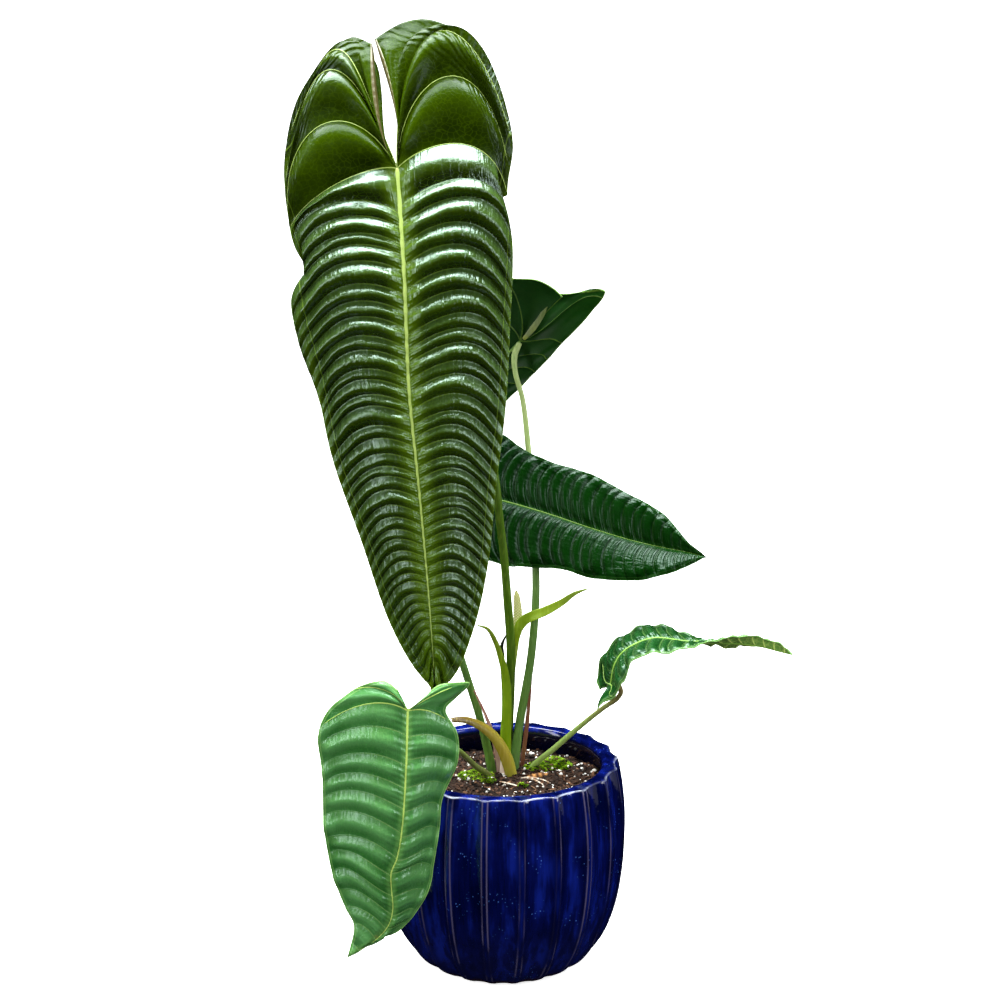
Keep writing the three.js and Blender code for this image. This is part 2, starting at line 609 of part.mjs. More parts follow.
function potGeometry() {
  const rings = POT_WALL.map(([height, radius, depth]) => potRing(height, radius, depth));
  rings.push(potRing(POT_HEIGHT, 138, 0.7));
  let solid = toSolid(closeRings(rings)).subtract(latheSolid(closedProfile(HOLLOW), HOLLOW_SIDES));
  drainSolids().forEach((hole) => { solid = solid.subtract(hole); });
  return toGeometry(solid);
}

// Rhizome: a squat buried stem, flat where the stalks stand on it, and its old end
function rhizomeSolid(grow = 0) {
  const rings = [[0.5, RHIZOME.bottom], [0.85, RHIZOME.bottom + 8], [1, RHIZOME.bottom + 25],
    [1, STEM_FOOT - 12], [0.86, STEM_FOOT + 1.5]];
  const last = rings.length - 1;
  const geometry = closeRings(rings.map(([share, height], row) => {
    const lift = row === last ? grow : row === 0 ? -grow : 0;
    return Array.from({ length: 18 }, (_, i) => {
      const angle = 2 * Math.PI * i / 18;
      const knob = 1 + 0.06 * Math.sin(3 * angle + row);
      return new THREE.Vector3(
        RHIZOME.centre[0] + (RHIZOME.half[0] * share * knob + grow) * Math.cos(angle),
        RHIZOME.centre[1] + (RHIZOME.half[1] * share * knob + grow) * Math.sin(angle),
        height + lift,
      );
    });
  }));
  return toSolid(geometry).add(toSolid(stalkGeometry(OLD_END, grow)));
}

// Soil: fills the hollow, uneven on top, with the largest perlite grains
function soilGeometry(cutters) {
  const wall = HOLLOW.filter(([, z]) => z < SOIL_TOP - 15).map(([r, z]) => [r - GAP, z]);
  wall[0][1] += GAP;
  const wallRadius = HOLLOW.map(([r, z]) => [z, r - GAP]);
  const edge = between(wallRadius, SOIL_TOP)[0];
  const heightAt = (r, angle) => SOIL_TOP + 2.2 * Math.sin(2 * angle + 1) * (r / edge)
    + 2.4 * Math.sin(0.09 * r * Math.cos(angle) + 2) * Math.sin(0.11 * r * Math.sin(angle));
  const ringAt = (r, height) => Array.from({ length: HOLLOW_SIDES }, (_, i) => {
    const angle = 2 * Math.PI * i / HOLLOW_SIDES;
    const z = height ?? heightAt(r, angle);
    const reach = Math.min(r, between(wallRadius, z)[0]);
    return new THREE.Vector3(reach * Math.cos(angle), reach * Math.sin(angle), z);
  });
  const rings = wall.map(([r, z]) => ringAt(r, z));
  [1.05, 0.88, 0.72, 0.54, 0.34, 0.12].forEach((share) => rings.push(ringAt(edge * share)));
  let solid = toSolid(closeRings(rings));
  for (let i = 0; i < PERLITE_GRAINS; i += 1) {
    const angle = 2 * Math.PI * draw(i, 5);
    const r = edge * (0.45 + 0.5 * draw(i, 6));
    const grain = new THREE.OctahedronGeometry(PERLITE_SIZE * (0.7 + 0.6 * draw(i, 7)));
    grain.rotateX(draw(i, 8) * 3);
    grain.translate(r * Math.cos(angle), r * Math.sin(angle), heightAt(r, angle) + 0.8);
    solid = solid.add(toSolid(grain));
  }
  cutters.forEach((cutter) => { solid = solid.subtract(cutter); });
  return toGeometry(largest(solid));
}

const plant = new THREE.Group();

function addMesh(name, geometry, colour, roughness, metalness = 0) {
  const material = new THREE.MeshStandardMaterial({ color: colour, roughness, metalness });
  const mesh = new THREE.Mesh(geometry, material);
  mesh.name = name;
  plant.add(mesh);
}

const blades = [GIANT, UPPER, MIDDLE, FRONT, SMALL];
blades.forEach((leaf) => {
  addMesh(`blade_${leaf.name}`, bladeGeometry(leaf), leaf.colour, 0.35);
});

STALKS.forEach((stalk) => {
  let solid = toSolid(stalkGeometry(stalk));
  if (stalk.top) solid = largest(solid.subtract(toSolid(bladeGeometry(stalk.top, 1.8 * GAP))));
  addMesh(stalk.name, toGeometry(solid), stalk.colour, 0.5);
});

const flowerStalk = toSolid(stalkGeometry(FLOWER.stalk)).add(toSolid(stalkGeometry(FLOWER.bract)));
const spadixGrown = toSolid(stalkGeometry(FLOWER.spadix, GAP, 10));
addMesh('flower_stalk', toGeometry(largest(flowerStalk.subtract(spadixGrown))), FLOWER.stalk.colour, 0.5);
addMesh('spadix', stalkGeometry(FLOWER.spadix, 0, 10), FLOWER.spadix.colour, 0.6);

const holes = [...STALKS, FLOWER.stalk].map((stalk) => toSolid(stalkGeometry(stalk, GAP)));
const rhizome = holes.reduce((solid, hole) => solid.subtract(hole), rhizomeSolid());
addMesh('rhizome', toGeometry(largest(rhizome)), OLD_END.colour, 0.9);
addMesh('pot', potGeometry(), 0x101c78, 0.15);
addMesh('soil', soilGeometry([...holes, rhizomeSolid(2 * GAP)]), 0x38261c, 0.95);

export default plant;
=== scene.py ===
"""A potted king anthurium: pleated leaves on long stalks in a blue glazed, fluted pot."""

import math

import bpy
import numpy as np
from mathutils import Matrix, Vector


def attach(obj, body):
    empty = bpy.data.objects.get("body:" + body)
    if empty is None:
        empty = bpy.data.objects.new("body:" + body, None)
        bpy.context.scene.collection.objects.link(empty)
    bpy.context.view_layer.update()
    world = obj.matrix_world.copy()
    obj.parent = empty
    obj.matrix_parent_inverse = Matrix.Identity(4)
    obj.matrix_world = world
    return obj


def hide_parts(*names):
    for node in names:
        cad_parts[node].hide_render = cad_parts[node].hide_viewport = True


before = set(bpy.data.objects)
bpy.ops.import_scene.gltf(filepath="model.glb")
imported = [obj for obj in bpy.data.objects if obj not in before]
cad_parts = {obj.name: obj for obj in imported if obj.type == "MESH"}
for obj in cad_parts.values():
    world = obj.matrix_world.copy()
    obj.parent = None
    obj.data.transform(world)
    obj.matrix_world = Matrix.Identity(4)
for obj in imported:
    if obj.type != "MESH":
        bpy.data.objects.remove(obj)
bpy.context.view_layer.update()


# Studio
# A photographer's table: a camera at eye height, a pale sweep of card that runs up
# behind the plant, a broad light panel overhead, a strip each side, a soft fill, and
# the glow of a second card low at the right.

EYE = (-0.0037, -2.5, 1.182)
LOOK_DOWN = math.radians(13.5)
LENS = 78.2

camera = bpy.data.objects.new("eye", bpy.data.cameras.new("eye"))
camera.location = EYE
camera.rotation_euler = (math.pi / 2 - LOOK_DOWN, 0, 0)
camera.data.lens = LENS
camera.data.sensor_width = 36
bpy.context.scene.collection.objects.link(camera)
bpy.context.scene.camera = camera


def paint(red, green, blue):
    """A colour as seen on a screen, 0 to 255, turned into the shader's own scale."""
    scaled = [c / 255 for c in (red, green, blue)]
    return (*(c / 12.92 if c < 0.04 else ((c + 0.055) / 1.055) ** 2.4 for c in scaled), 1)


def feed(tree, value, socket):
    """Sets a socket to a plain value, or wires another node's output to it."""
    if isinstance(value, bpy.types.NodeSocket):
        tree.links.new(value, socket)
    else:
        socket.default_value = value


def place_node(tree, kind, values=None, **settings):
    """A shader node, its settings made, and its inputs fed by name or by number."""
    made = tree.nodes.new("ShaderNode" + kind)
    for name, value in settings.items():
        setattr(made, name, value)
    for name, value in (values or {}).items():
        feed(tree, value, made.inputs[name])
    return made


def mix_paint(tree, share, low, high):
    """Two colours mixed by a share from 0 to 1."""
    return place_node(tree, "Mix", {0: share, 6: low, 7: high}, data_type="RGBA").outputs[2]


def sum_up(tree, way, first, second=0.0):
    """Arithmetic on one or two values."""
    return place_node(tree, "Math", {0: first, 1: second}, operation=way).outputs[0]


def times(tree, first, second):
    return sum_up(tree, "MULTIPLY", first, second)


def plus(tree, first, second):
    return sum_up(tree, "ADD", first, second)


def rest_of(tree, share):
    """What a share leaves of 1."""
    return sum_up(tree, "SUBTRACT", 1.0, share)


def fade(tree, value, start, end, low=0.0, high=1.0):
    """Eases from low to high while the value goes from start to end."""
    values = {"Value": value, "From Min": start, "From Max": end, "To Min": low, "To Max": high}
    return place_node(tree, "MapRange", values, interpolation_type="SMOOTHSTEP").outputs[0]


def place_on(tree):
    """Where a point of the surface is, in metres."""
    return place_node(tree, "TexCoord").outputs["Object"]


def mark_on(tree, name):
    """The value of a named mark on the piece's points."""
    return place_node(tree, "Attribute", attribute_name=name).outputs["Fac"]


def stretched(tree, where, scale):
    return place_node(tree, "Mapping", {"Vector": where, "Scale": scale}).outputs[0]


def noise(tree, where, scale, detail, **values):
    """Soft uneven patches from 0 to 1, a metre divided by scale in size."""
    given = {"Vector": where, "Scale": scale, "Detail": detail, **values}
    return place_node(tree, "TexNoise", given).outputs[0]


def cells(tree, where, scale, feature="F1"):
    """The distance to the middle or to the edge of scattered cells."""
    given = {"Vector": where, "Scale": scale}
    return place_node(tree, "TexVoronoi", given, feature=feature).outputs["Distance"]


def shade_by(tree, value, *stops):
    """A colour read from a row of stops by a value, each stop a place and a colour."""
    made = place_node(tree, "ValToRGB", {0: value})
    row = made.color_ramp.elements
    row[0].position, row[0].color = stops[0]
    row[1].position, row[1].color = stops[-1]
    for spot, colour in stops[1:-1]:
        row.new(spot).color = colour
    return made.outputs[0]


def emboss(tree, shader, height, distance, strength):
    """Small relief on the surface, distance metres deep."""
    bump = place_node(tree, "Bump", {"Height": height, "Distance": distance, "Strength": strength})
    feed(tree, bump.outputs[0], shader.inputs["Normal"])
    return bump.outputs[0]


def new_finish(name, **values):
    """A material, its tree and its Principled shader, with plain values on the sockets."""
    material = bpy.data.materials.new(name)
    material.use_nodes = True
    tree = material.node_tree
    shader = tree.nodes["Principled BSDF"]
    for socket, value in values.items():
        shader.inputs[socket.replace("_", " ")].default_value = value
    return material, tree, shader


def new_piece(name, points, faces, finishes, marks=None, finish_of_face=None, smooth=True):
    """A mesh object from points and faces, with a named value on each point for the finish."""
    mesh = bpy.data.meshes.new(name)
    mesh.from_pydata(np.asarray(points).tolist(), [], [list(face) for face in faces])
    for mark, values in (marks or {}).items():
        layer = mesh.attributes.new(mark, "FLOAT", "POINT")
        layer.data.foreach_set("value", np.asarray(values, dtype=np.float32).ravel())
    for finish in finishes:
        mesh.materials.append(finish)
    if finish_of_face is not None:
        mesh.polygons.foreach_set("material_index", finish_of_face)
    mesh.polygons.foreach_set("use_smooth", [smooth] * len(mesh.polygons))
    mesh.update()
    made = bpy.data.objects.new(name, mesh)
    bpy.context.scene.collection.objects.link(made)
    return made


def softbox(name, centre, aim, width, height, watts, colour=(1, 1, 1), mirrored=True):
    """A rectangular area light at centre, turned towards aim, seen in gloss or not."""
    lamp = bpy.data.lights.new(name, "AREA")
    lamp.shape = "RECTANGLE"
    lamp.size, lamp.size_y = width, height
    lamp.energy = watts
    lamp.color = colour
    made = bpy.data.objects.new(name, lamp)
    made.location = centre
    made.rotation_euler = (Vector(aim) - Vector(centre)).to_track_quat("-Z", "Y").to_euler()
    made.visible_glossy = mirrored
    bpy.context.scene.collection.objects.link(made)


SWEEP_WIDTH = 9.0
SWEEP_FRONT = -5.0
SWEEP_FLAT = 2.2
SWEEP_BEND = 1.2
SWEEP_TOP = 4.5
sweep_line = [(SWEEP_FRONT, 0.0), (SWEEP_FLAT, 0.0)]
sweep_line += [(SWEEP_FLAT + SWEEP_BEND * math.sin(a), SWEEP_BEND * (1 - math.cos(a)))
               for a in np.linspace(0, math.pi / 2, 16)[1:]]
sweep_line += [(SWEEP_FLAT + SWEEP_BEND, SWEEP_TOP)]
sweep_points = [(x, y, z) for y, z in sweep_line for x in (-SWEEP_WIDTH / 2, SWEEP_WIDTH / 2)]
sweep_faces = [(2 * i, 2 * i + 1, 2 * i + 3, 2 * i + 2) for i in range(len(sweep_line) - 1)]
card, card_tree, card_shader = new_finish("pale_card", Roughness=0.9, Specular_IOR_Level=0.1)
card_grain = place_node(card_tree, "TexNoise", {"Scale": 3.0, "Detail": 4.0}).outputs[0]
card_colour = mix_paint(card_tree, card_grain, paint(248, 248, 248), paint(252, 252, 252))
feed(card_tree, card_colour, card_shader.inputs["Base Color"])
card_shader.inputs["Emission Color"].default_value = (1, 1, 1, 1)
card_shader.inputs["Emission Strength"].default_value = 0.8
sweep = new_piece("card_sweep", sweep_points, sweep_faces, [card])
sweep.visible_glossy = False
sweep.visible_diffuse = False

softbox("overhead_panel", (-0.2, 0.3, 2.5), (-0.2, 0.25, 0), 2.4, 1.3, 240, (0.95, 1.0, 0.98))
softbox("right_card_light", (2.0, 0.7, 0.4), (0, 0, 0.2), 1.6, 1.2, 2.2, (0.9, 0.92, 1.0))
softbox("front_fill", (-0.9, -2.6, 1.9), (-0.05, 0, 0.6), 1.6, 1.2, 42, (1.0, 1.0, 0.94), False)
softbox("right_strip", (1.9, -0.9, 1.3), (0, 0, 0.5), 0.5, 1.8, 26)
softbox("left_strip", (-2.0, -0.9, 1.3), (0, 0, 0.5), 0.5, 1.8, 22)
softbox("card_light", (0, 1.6, 3.8), (0, 3.2, 0.8), 3.6, 1.0, 60)

room = bpy.data.worlds.new("room")
room.use_nodes = True
room.node_tree.nodes["Background"].inputs["Color"].default_value = (0.95, 1, 0.98, 1)
room.node_tree.nodes["Background"].inputs["Strength"].default_value = 0.3
room.cycles_visibility.glossy = False
bpy.context.scene.world = room
bpy.context.scene.view_settings.view_transform = "Standard"
bpy.context.scene.view_settings.look = "None"

MM = 0.001


def ease(x):
    """A smooth step from 0 to 1."""
    x = np.clip(x, 0, 1)
    return x * x * (3 - 2 * x)


def draw_lot(number, seed):
    """A repeatable draw from 0 to 1 for a numbered thing."""
    x = np.sin(number * 127.1 + seed * 311.7) * 43758.5453
    return x - np.floor(x)


def bridge_rings(rows, sides, start=0):
    """Quads between rings of points, each ring closed on itself."""
    faces = []
    for row in range(rows - 1):
        for side in range(sides):
            a = start + row * sides + side
            b = start + row * sides + (side + 1) % sides
            faces.append((a, b, b + sides, a + sides))
    return faces


def close_ends(rows, sides):
    """The two faces that close a row of rings."""
    return [tuple(range(sides))[::-1], tuple(range((rows - 1) * sides, rows * sides))]


def shifted(faces, shift):
    """Faces whose points come after other points in the same piece."""
    return [tuple(i + shift for i in face) for face in faces]


class Route:
    """A smooth curve through given points, read by its share of the length."""

    def __init__(self, knots, samples=1200):
        knots = np.array(knots, float) * MM
        ends = [2 * knots[0] - knots[1], 2 * knots[-1] - knots[-2]]
        all_knots = np.vstack([ends[0], knots, ends[1]])
        line = []
        for w in np.linspace(0, len(knots) - 1, samples):
            i = min(int(w), len(knots) - 2)
            line.append(self.between_knots(all_knots[i:i + 4], w - i))
        self.line = np.array(line)
        steps = np.linalg.norm(np.diff(self.line, axis=0), axis=1)
        run = np.concatenate([[0], np.cumsum(steps)])
        self.length = run[-1]
        self.share = run / self.length

    @staticmethod
    def between_knots(four, t):
        """The centripetal curve between the middle two of four knots."""
        gaps = [max(np.sum((b - a) ** 2) ** 0.25, 1e-6) for a, b in zip(four, four[1:])]
        slopes = []
        for k in (0, 1):
            before, at, after = four[k:k + 3]
            slope = (at - before) / gaps[k] - (after - before) / (gaps[k] + gaps[k + 1])
            slopes.append((slope + (after - at) / gaps[k + 1]) * gaps[1])
        start, stop = four[1], four[2]
        square = -3 * start + 3 * stop - 2 * slopes[0] - slopes[1]
        cube = 2 * start - 2 * stop + slopes[0] + slopes[1]
        return start + slopes[0] * t + square * t * t + cube * t ** 3

    def at(self, share):
        return np.stack([np.interp(share, self.share, self.line[:, k]) for k in range(3)], -1)


# Pot
# A wheel-made stoneware planter, fluted while leather-hard, dipped in cobalt glaze and
# fired. The glaze runs thick in the flutes and breaks to lilac brown on the ribs' edges.

FLUTES = 21
FLUTE_DEPTH = 5.5 * MM
RIB_WIDTH = 7 * MM
# Height, radius on the ribs and share of the flute's depth, in millimetres
POT_WALL = [(0, 82, 0.3), (4, 91, 0.5), (14, 106, 0.8), (30, 119, 1), (48, 129, 1),
            (78, 139.5, 1), (110, 146, 1), (150, 150, 1), (190, 150, 1), (225, 146.5, 1),
            (250, 142, 0.85), (255, 140.5, 0.8)]
# Radius and height down the inside, from the lip to the middle of the floor
POT_INSIDE = [(122, 256), (120, 254), (119, 250), (121.5, 243), (124, 236), (131, 205),
              (134, 165), (131, 120), (120, 74), (100, 36), (72, 16), (0.5, 16)]

wall_curve = Route([(radius, 0, height) for height, radius, _ in POT_WALL])
wall_line = wall_curve.at(np.linspace(0, 1, 110))
wall_depth = np.interp(wall_line[:, 2] / MM, [r[0] for r in POT_WALL], [r[2] for r in POT_WALL])
wall_rows = [(r, z, depth) for (r, _, z), depth in zip(wall_line, wall_depth)]
# The lip: rounded over, flat on top, and rounded again into the hollow
lip = [(140.0, 256.2, 0.78), (138.8, 256.9, 0.72), (136.5, 257, 0.55), (131, 257, 0.25),
       (126, 257, 0.05), (123.5, 256.8, 0)]
wall_rows += [(r * MM, z * MM, depth) for r, z, depth in lip]
inside_curve = Route([(r, 0, z) for r, z in POT_INSIDE]).at(np.linspace(0, 1, 46))
wall_rows += [(r, z, 0.0) for r, _, z in inside_curve]
wall_rows = [(0.5 * MM, 0.0, 0.0), (40 * MM, 0.0, 0.0), (75 * MM, 0.0, 0.1)] + wall_rows

# A pale highlight is painted on the lip's outer edge, where the glaze also breaks, at this radius and
# within this width
LIP_EDGE = 139.6
LIP_EDGE_WIDTH = 0.7
LIP_START = 255.5 * MM
HOLLOW_LEVELS = (10 * MM, 254.5 * MM)

pitch = 2 * math.pi / FLUTES
flute_steps = np.concatenate([[-1, -0.97], np.linspace(-0.9, 0.9, 11), [0.97, 1]])
rib_steps = np.array([0.12, 0.5, 0.88])
pot_points, pot_edge, pot_glint_break_and_hollow_shade = [], [], []
for radius, height, depth in wall_rows:
    rib_half = RIB_WIDTH / 2 / max(radius, 0.05)
    on_lip = height > LIP_START
    in_hollow = depth == 0 and HOLLOW_LEVELS[0] < height < HOLLOW_LEVELS[1]
    # Painted highlight on the lip's outer edge, painted shade in the hollow inside the pot
    glint_break_and_hollow_shade = math.exp(-((radius / MM - LIP_EDGE) / LIP_EDGE_WIDTH) ** 2) * on_lip - 1.0 * in_hollow
    for flute in range(FLUTES):
        middle = flute * pitch - math.pi / 2
        half = pitch / 2 - rib_half
        for x in flute_steps:
            hollow = depth * FLUTE_DEPTH * (1 - x * x) ** 0.85
            angle = middle + x * half
            r = radius - hollow
            pot_points.append((r * math.cos(angle), r * math.sin(angle), height))
            pot_edge.append((1 - abs(x)) * half * radius if depth else 1)
            pot_glint_break_and_hollow_shade.append(glint_break_and_hollow_shade)
        for x in rib_steps:
            angle = middle + half + x * 2 * rib_half
            r = radius + 0.5 * MM * depth * math.sin(math.pi * x)
            pot_points.append((r * math.cos(angle), r * math.sin(angle), height))
            pot_edge.append(-min(x, 1 - x) * RIB_WIDTH if depth else 1)
            pot_glint_break_and_hollow_shade.append(glint_break_and_hollow_shade)
ring_size = FLUTES * (len(flute_steps) + len(rib_steps))
pot_faces = bridge_rings(len(wall_rows), ring_size) + close_ends(len(wall_rows), ring_size)

glaze, tree, shader = new_finish("cobalt_glaze", IOR=1.5, Coat_Roughness=0.04)
where = place_on(tree)
edge = mark_on(tree, "edge")
level = place_node(tree, "SeparateXYZ", {0: where}).outputs["Z"]
runs = stretched(tree, where, (90, 90, 7))
run_noise = noise(tree, runs, 1.0, 6.0, Roughness=0.6)
cloud = noise(tree, where, 16.0, 5.0)
depths = plus(tree, times(tree, run_noise, 0.75), times(tree, cloud, 0.5))
blue = shade_by(tree, depths, (0.48, paint(1, 5, 44)), (0.62, paint(5, 12, 72)), (0.74, paint(14, 30, 124)))
# Small pale specks, crystals where the glaze is thick, painted to stand in for small glints as well
crystal_glint = fade(tree, cells(tree, where, 210.0), 0.22, 0.08)
patches = noise(tree, where, 26.0, 3.0)
crystal_glint = times(tree, crystal_glint, fade(tree, patches, 0.52, 0.68))
colour = mix_paint(tree, times(tree, crystal_glint, 0.75), blue, paint(90, 140, 240))
# The glaze thins to lilac brown along both edges of each rib
wander = noise(tree, where, 45.0, 4.0)
line = fade(tree, sum_up(tree, "ABSOLUTE", plus(tree, edge, 0.0004)), 0.0015, 0.0001)
thinning = stretched(tree, where, (60, 60, 5))
thinning = noise(tree, thinning, 1.0, 3.0)
line = times(tree, line, fade(tree, thinning, 0.42, 0.6, 0.05, 1.0))
line = times(tree, line, fade(tree, level, 0.2568, 0.254))
# Painted shade: a dark band along both sides of each rib edge deepens the flutes, where the glaze also
# pools darker
rib_edge_shade = fade(tree, sum_up(tree, "ABSOLUTE", edge), 0.007, 0.001, 0.0, 0.6)
colour = mix_paint(tree, rib_edge_shade, colour, paint(1, 3, 30))
colour = mix_paint(tree, times(tree, line, 0.75), colour, paint(96, 88, 122))
colour = mix_paint(tree, fade(tree, level, 0.13, 0.01, 0.0, 0.5), colour, paint(20, 22, 58))
# A painted highlight on the lip's outer edge, where the glaze has also run off almost clear; painted shade
# in the hollow, which is painted nearly black
glint_break_and_hollow_shade_mark = mark_on(tree, "lip")
lip_glint_and_glaze_break = times(tree, glint_break_and_hollow_shade_mark, fade(tree, wander, 0.42, 0.6, 0.1, 0.9))
colour = mix_paint(tree, lip_glint_and_glaze_break, colour, paint(206, 214, 236))
colour = mix_paint(tree, fade(tree, glint_break_and_hollow_shade_mark, -0.3, -0.9), colour, paint(2, 4, 30))
# The foot was wiped bare and shows the brown clay
foot = plus(tree, level, times(tree, wander, 0.012))
colour = mix_paint(tree, fade(tree, foot, 0.022, 0.01), colour, paint(52, 34, 26))
feed(tree, colour, shader.inputs["Base Color"])
rough = plus(tree, times(tree, line, 0.12), fade(tree, foot, 0.013, 0.006, 0.07, 0.6))
feed(tree, rough, shader.inputs["Roughness"])
dimple = noise(tree, where, 120.0, 2.0)
swell = noise(tree, where, 28.0, 2.0)
uneven = plus(tree, times(tree, dimple, 0.25), swell)
emboss(tree, shader, uneven, 0.0011, 0.6)

pot = new_piece("glazed_pot", pot_points, pot_faces, [glaze], {"edge": pot_edge, "lip": pot_glint_break_and_hollow_shade})
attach(pot, "root")
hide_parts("pot")


# Potting mix
# An airy mix for aroids: composted bark, coir and soot-dark peat with expanded perlite.
# It was tipped in around the roots, and cushions of moss have grown on it since.

SOIL_TOP = 227
SOIL_EDGE = 125.5
SOIL_WALL = [(0.5, 16.6), (71, 16.6), (99.6, 36), (119.6, 74), (130.6, 120), (133.6, 165),
             (130.6, 205), (127.5, 218)]
MOSS_CUSHIONS = [(-33, 19, 22, 17), (-18, 0, 10, 7), (42, 44, 15, 13), (60, 58, 19, 17),
                 (76, 50, 10, 12), (24, -19, 6, 3)]
soil_lot = np.random.default_rng(11)


def soil_height(x, y):
    """The uneven top of the mix, in millimetres, at a place in millimetres."""
    r, angle = np.hypot(x, y), np.arctan2(y, x)
    z = SOIL_TOP + 2.2 * np.sin(2 * angle + 1) * (r / SOIL_EDGE)
    z = z + 2.4 * np.sin(0.09 * x + 2) * np.sin(0.11 * y)
    z = z + 0.8 * np.sin(0.31 * x + 0.17 * y) + 0.6 * np.sin(0.43 * y - 0.21 * x + 1)
    for cx, cy, rx, ry in MOSS_CUSHIONS:
        inside = np.maximum(0, 1 - ((x - cx) / rx) ** 2 - ((y - cy) / ry) ** 2)
        z = z + 4.0 * np.sqrt(inside)
    return z


soil_sides, soil_rings = 180, 64
turns = np.linspace(0, 2 * math.pi, soil_sides, endpoint=False)
soil_points = [(r * math.cos(a), r * math.sin(a), z) for r, z in SOIL_WALL for a in turns]
for r in np.linspace(SOIL_EDGE, 1, soil_rings):
    jitter = soil_lot.normal(0, 0.45, soil_sides)
    soil_points += [(r * math.cos(a), r * math.sin(a),
                     float(soil_height(r * math.cos(a), r * math.sin(a))) + j)
                    for a, j in zip(turns, jitter)]
soil_count = len(SOIL_WALL) + soil_rings
soil_faces = bridge_rings(soil_count, soil_sides) + close_ends(soil_count, soil_sides)

peat, tree, shader = new_finish("dark_peat", Roughness=0.95, Specular_IOR_Level=0.2)
where = place_on(tree)
clod = noise(tree, where, 55.0, 6.0)
colour = shade_by(tree, clod, (0.35, paint(14, 10, 8)), (0.72, paint(64, 46, 36)))
feed(tree, colour, shader.inputs["Base Color"])
lumps = plus(tree, cells(tree, where, 260.0), clod)
emboss(tree, shader, lumps, 0.003, 0.9)
soil = new_piece("peat_bed", np.array(soil_points) * MM, soil_faces, [peat])
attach(soil, "root")
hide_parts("soil")


def turned(points, angles):
    """Points turned about X, Y and Z."""
    for axis, angle in enumerate(angles):
        c, s = math.cos(angle), math.sin(angle)
        a, b = [(1, 2), (2, 0), (0, 1)][axis]
        first, second = points[:, a] * c - points[:, b] * s, points[:, a] * s + points[:, b] * c
        points = points.copy()
        points[:, a], points[:, b] = first, second
    return points


def ball(rings, sides):
    """Points and faces of a small round lump of radius 1."""
    points = [(0, 0, -1)]
    for ring in range(1, rings):
        tilt = math.pi * ring / rings
        points += [(math.sin(tilt) * math.cos(2 * math.pi * i / sides),
                    math.sin(tilt) * math.sin(2 * math.pi * i / sides), -math.cos(tilt))
                   for i in range(sides)]
    points.append((0, 0, 1))
    top = len(points) - 1
    faces = [(0, 1 + (i + 1) % sides, 1 + i) for i in range(sides)]
    faces += bridge_rings(rings - 1, sides, start=1)
    faces += [(top - sides + i, top - sides + (i + 1) % sides, top) for i in range(sides)]
    return np.array(points, float), faces


def scatter(name, count, spot, lump, finish):
    """Many small loose lumps in one piece, each with a tone of its own."""
    points, faces, tones = [], [], []
    base = 0
    for number in range(count):
        body, sides = lump(number)
        points.append(body + spot(number))
        faces += shifted(sides, base)
        tones += [soil_lot.random()] * len(body)
        base += len(body)
    piece = new_piece(name, np.concatenate(points) * MM, faces, [finish], {"tone": tones},
                      smooth=False)
    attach(piece, "root")


def on_soil(sink):
    """A random place on the mix, clear of the wall."""
    r = (SOIL_EDGE - 4) * math.sqrt(soil_lot.random())
    a = soil_lot.random() * 2 * math.pi
    x, y = r * math.cos(a), r * math.sin(a)
    return np.array([x, y, float(soil_height(x, y)) + sink])


BARK_CHIPS = 2600
PERLITE_GRAINS = 210
MOSS_TUFTS = 3000
BLOCK = np.array([(x, y, z) for x in (-1, 1) for y in (-1, 1) for z in (-1, 1)], float)
BLOCK_SIDES = [(0, 1, 3, 2), (4, 6, 7, 5), (0, 4, 5, 1), (2, 3, 7, 6), (0, 2, 6, 4), (1, 5, 7, 3)]


def bark_chip(_):
    """A flat splinter of bark with no two corners alike."""
    size = np.array([soil_lot.uniform(1.2, 4.2), soil_lot.uniform(0.8, 2.2), soil_lot.uniform(0.4, 1.0)])
    body = BLOCK * size * soil_lot.uniform(0.55, 1.2, (8, 3))
    tilt = (soil_lot.normal(0, 0.35), soil_lot.normal(0, 0.35), soil_lot.uniform(0, 6.28))
    return turned(body, tilt), BLOCK_SIDES


bark, tree, shader = new_finish("bark", Roughness=0.9, Specular_IOR_Level=0.25)
shades = shade_by(tree, mark_on(tree, "tone"), (0, paint(28, 18, 14)), (0.45, paint(52, 35, 27)),
                  (0.8, paint(84, 58, 44)), (0.95, paint(120, 84, 62)), (1, paint(150, 112, 84)))
where = place_on(tree)
fibre = noise(tree, where, 420.0, 4.0)
colour = mix_paint(tree, fade(tree, fibre, 0.3, 0.7, 0.0, 0.5), shades, paint(30, 20, 16))
feed(tree, colour, shader.inputs["Base Color"])
emboss(tree, shader, fibre, 0.0008, 0.7)
scatter("bark_chips", BARK_CHIPS, lambda _: on_soil(0.3), bark_chip, bark)

LUMP, LUMP_SIDES = ball(5, 7)
PERLITE_SPOTS = [(-22, -14), (46, 52), (88, 106), (104, 42), (70, -30), (10, -60), (-60, 10), (30, 90)]


def perlite_grain(_):
    """A white, popped grain, a few of them half as big again."""
    size = soil_lot.uniform(0.5, 1.9) * (1.5 if soil_lot.random() < 0.15 else 1)
    body = LUMP * size * soil_lot.uniform(0.72, 1.15, (len(LUMP), 1))
    return turned(body, soil_lot.uniform(0, 6.28, 3)), LUMP_SIDES


def perlite_spot(number):
    """Perlite floats up in watering, so it gathers in drifts."""
    if number % 3:
        return on_soil(0.7)
    x, y = PERLITE_SPOTS[number % len(PERLITE_SPOTS)] + soil_lot.normal(0, 12, 2)
    if math.hypot(x, y) > SOIL_EDGE - 5:
        return on_soil(0.7)
    return np.array([x, y, float(soil_height(x, y)) + 0.8])


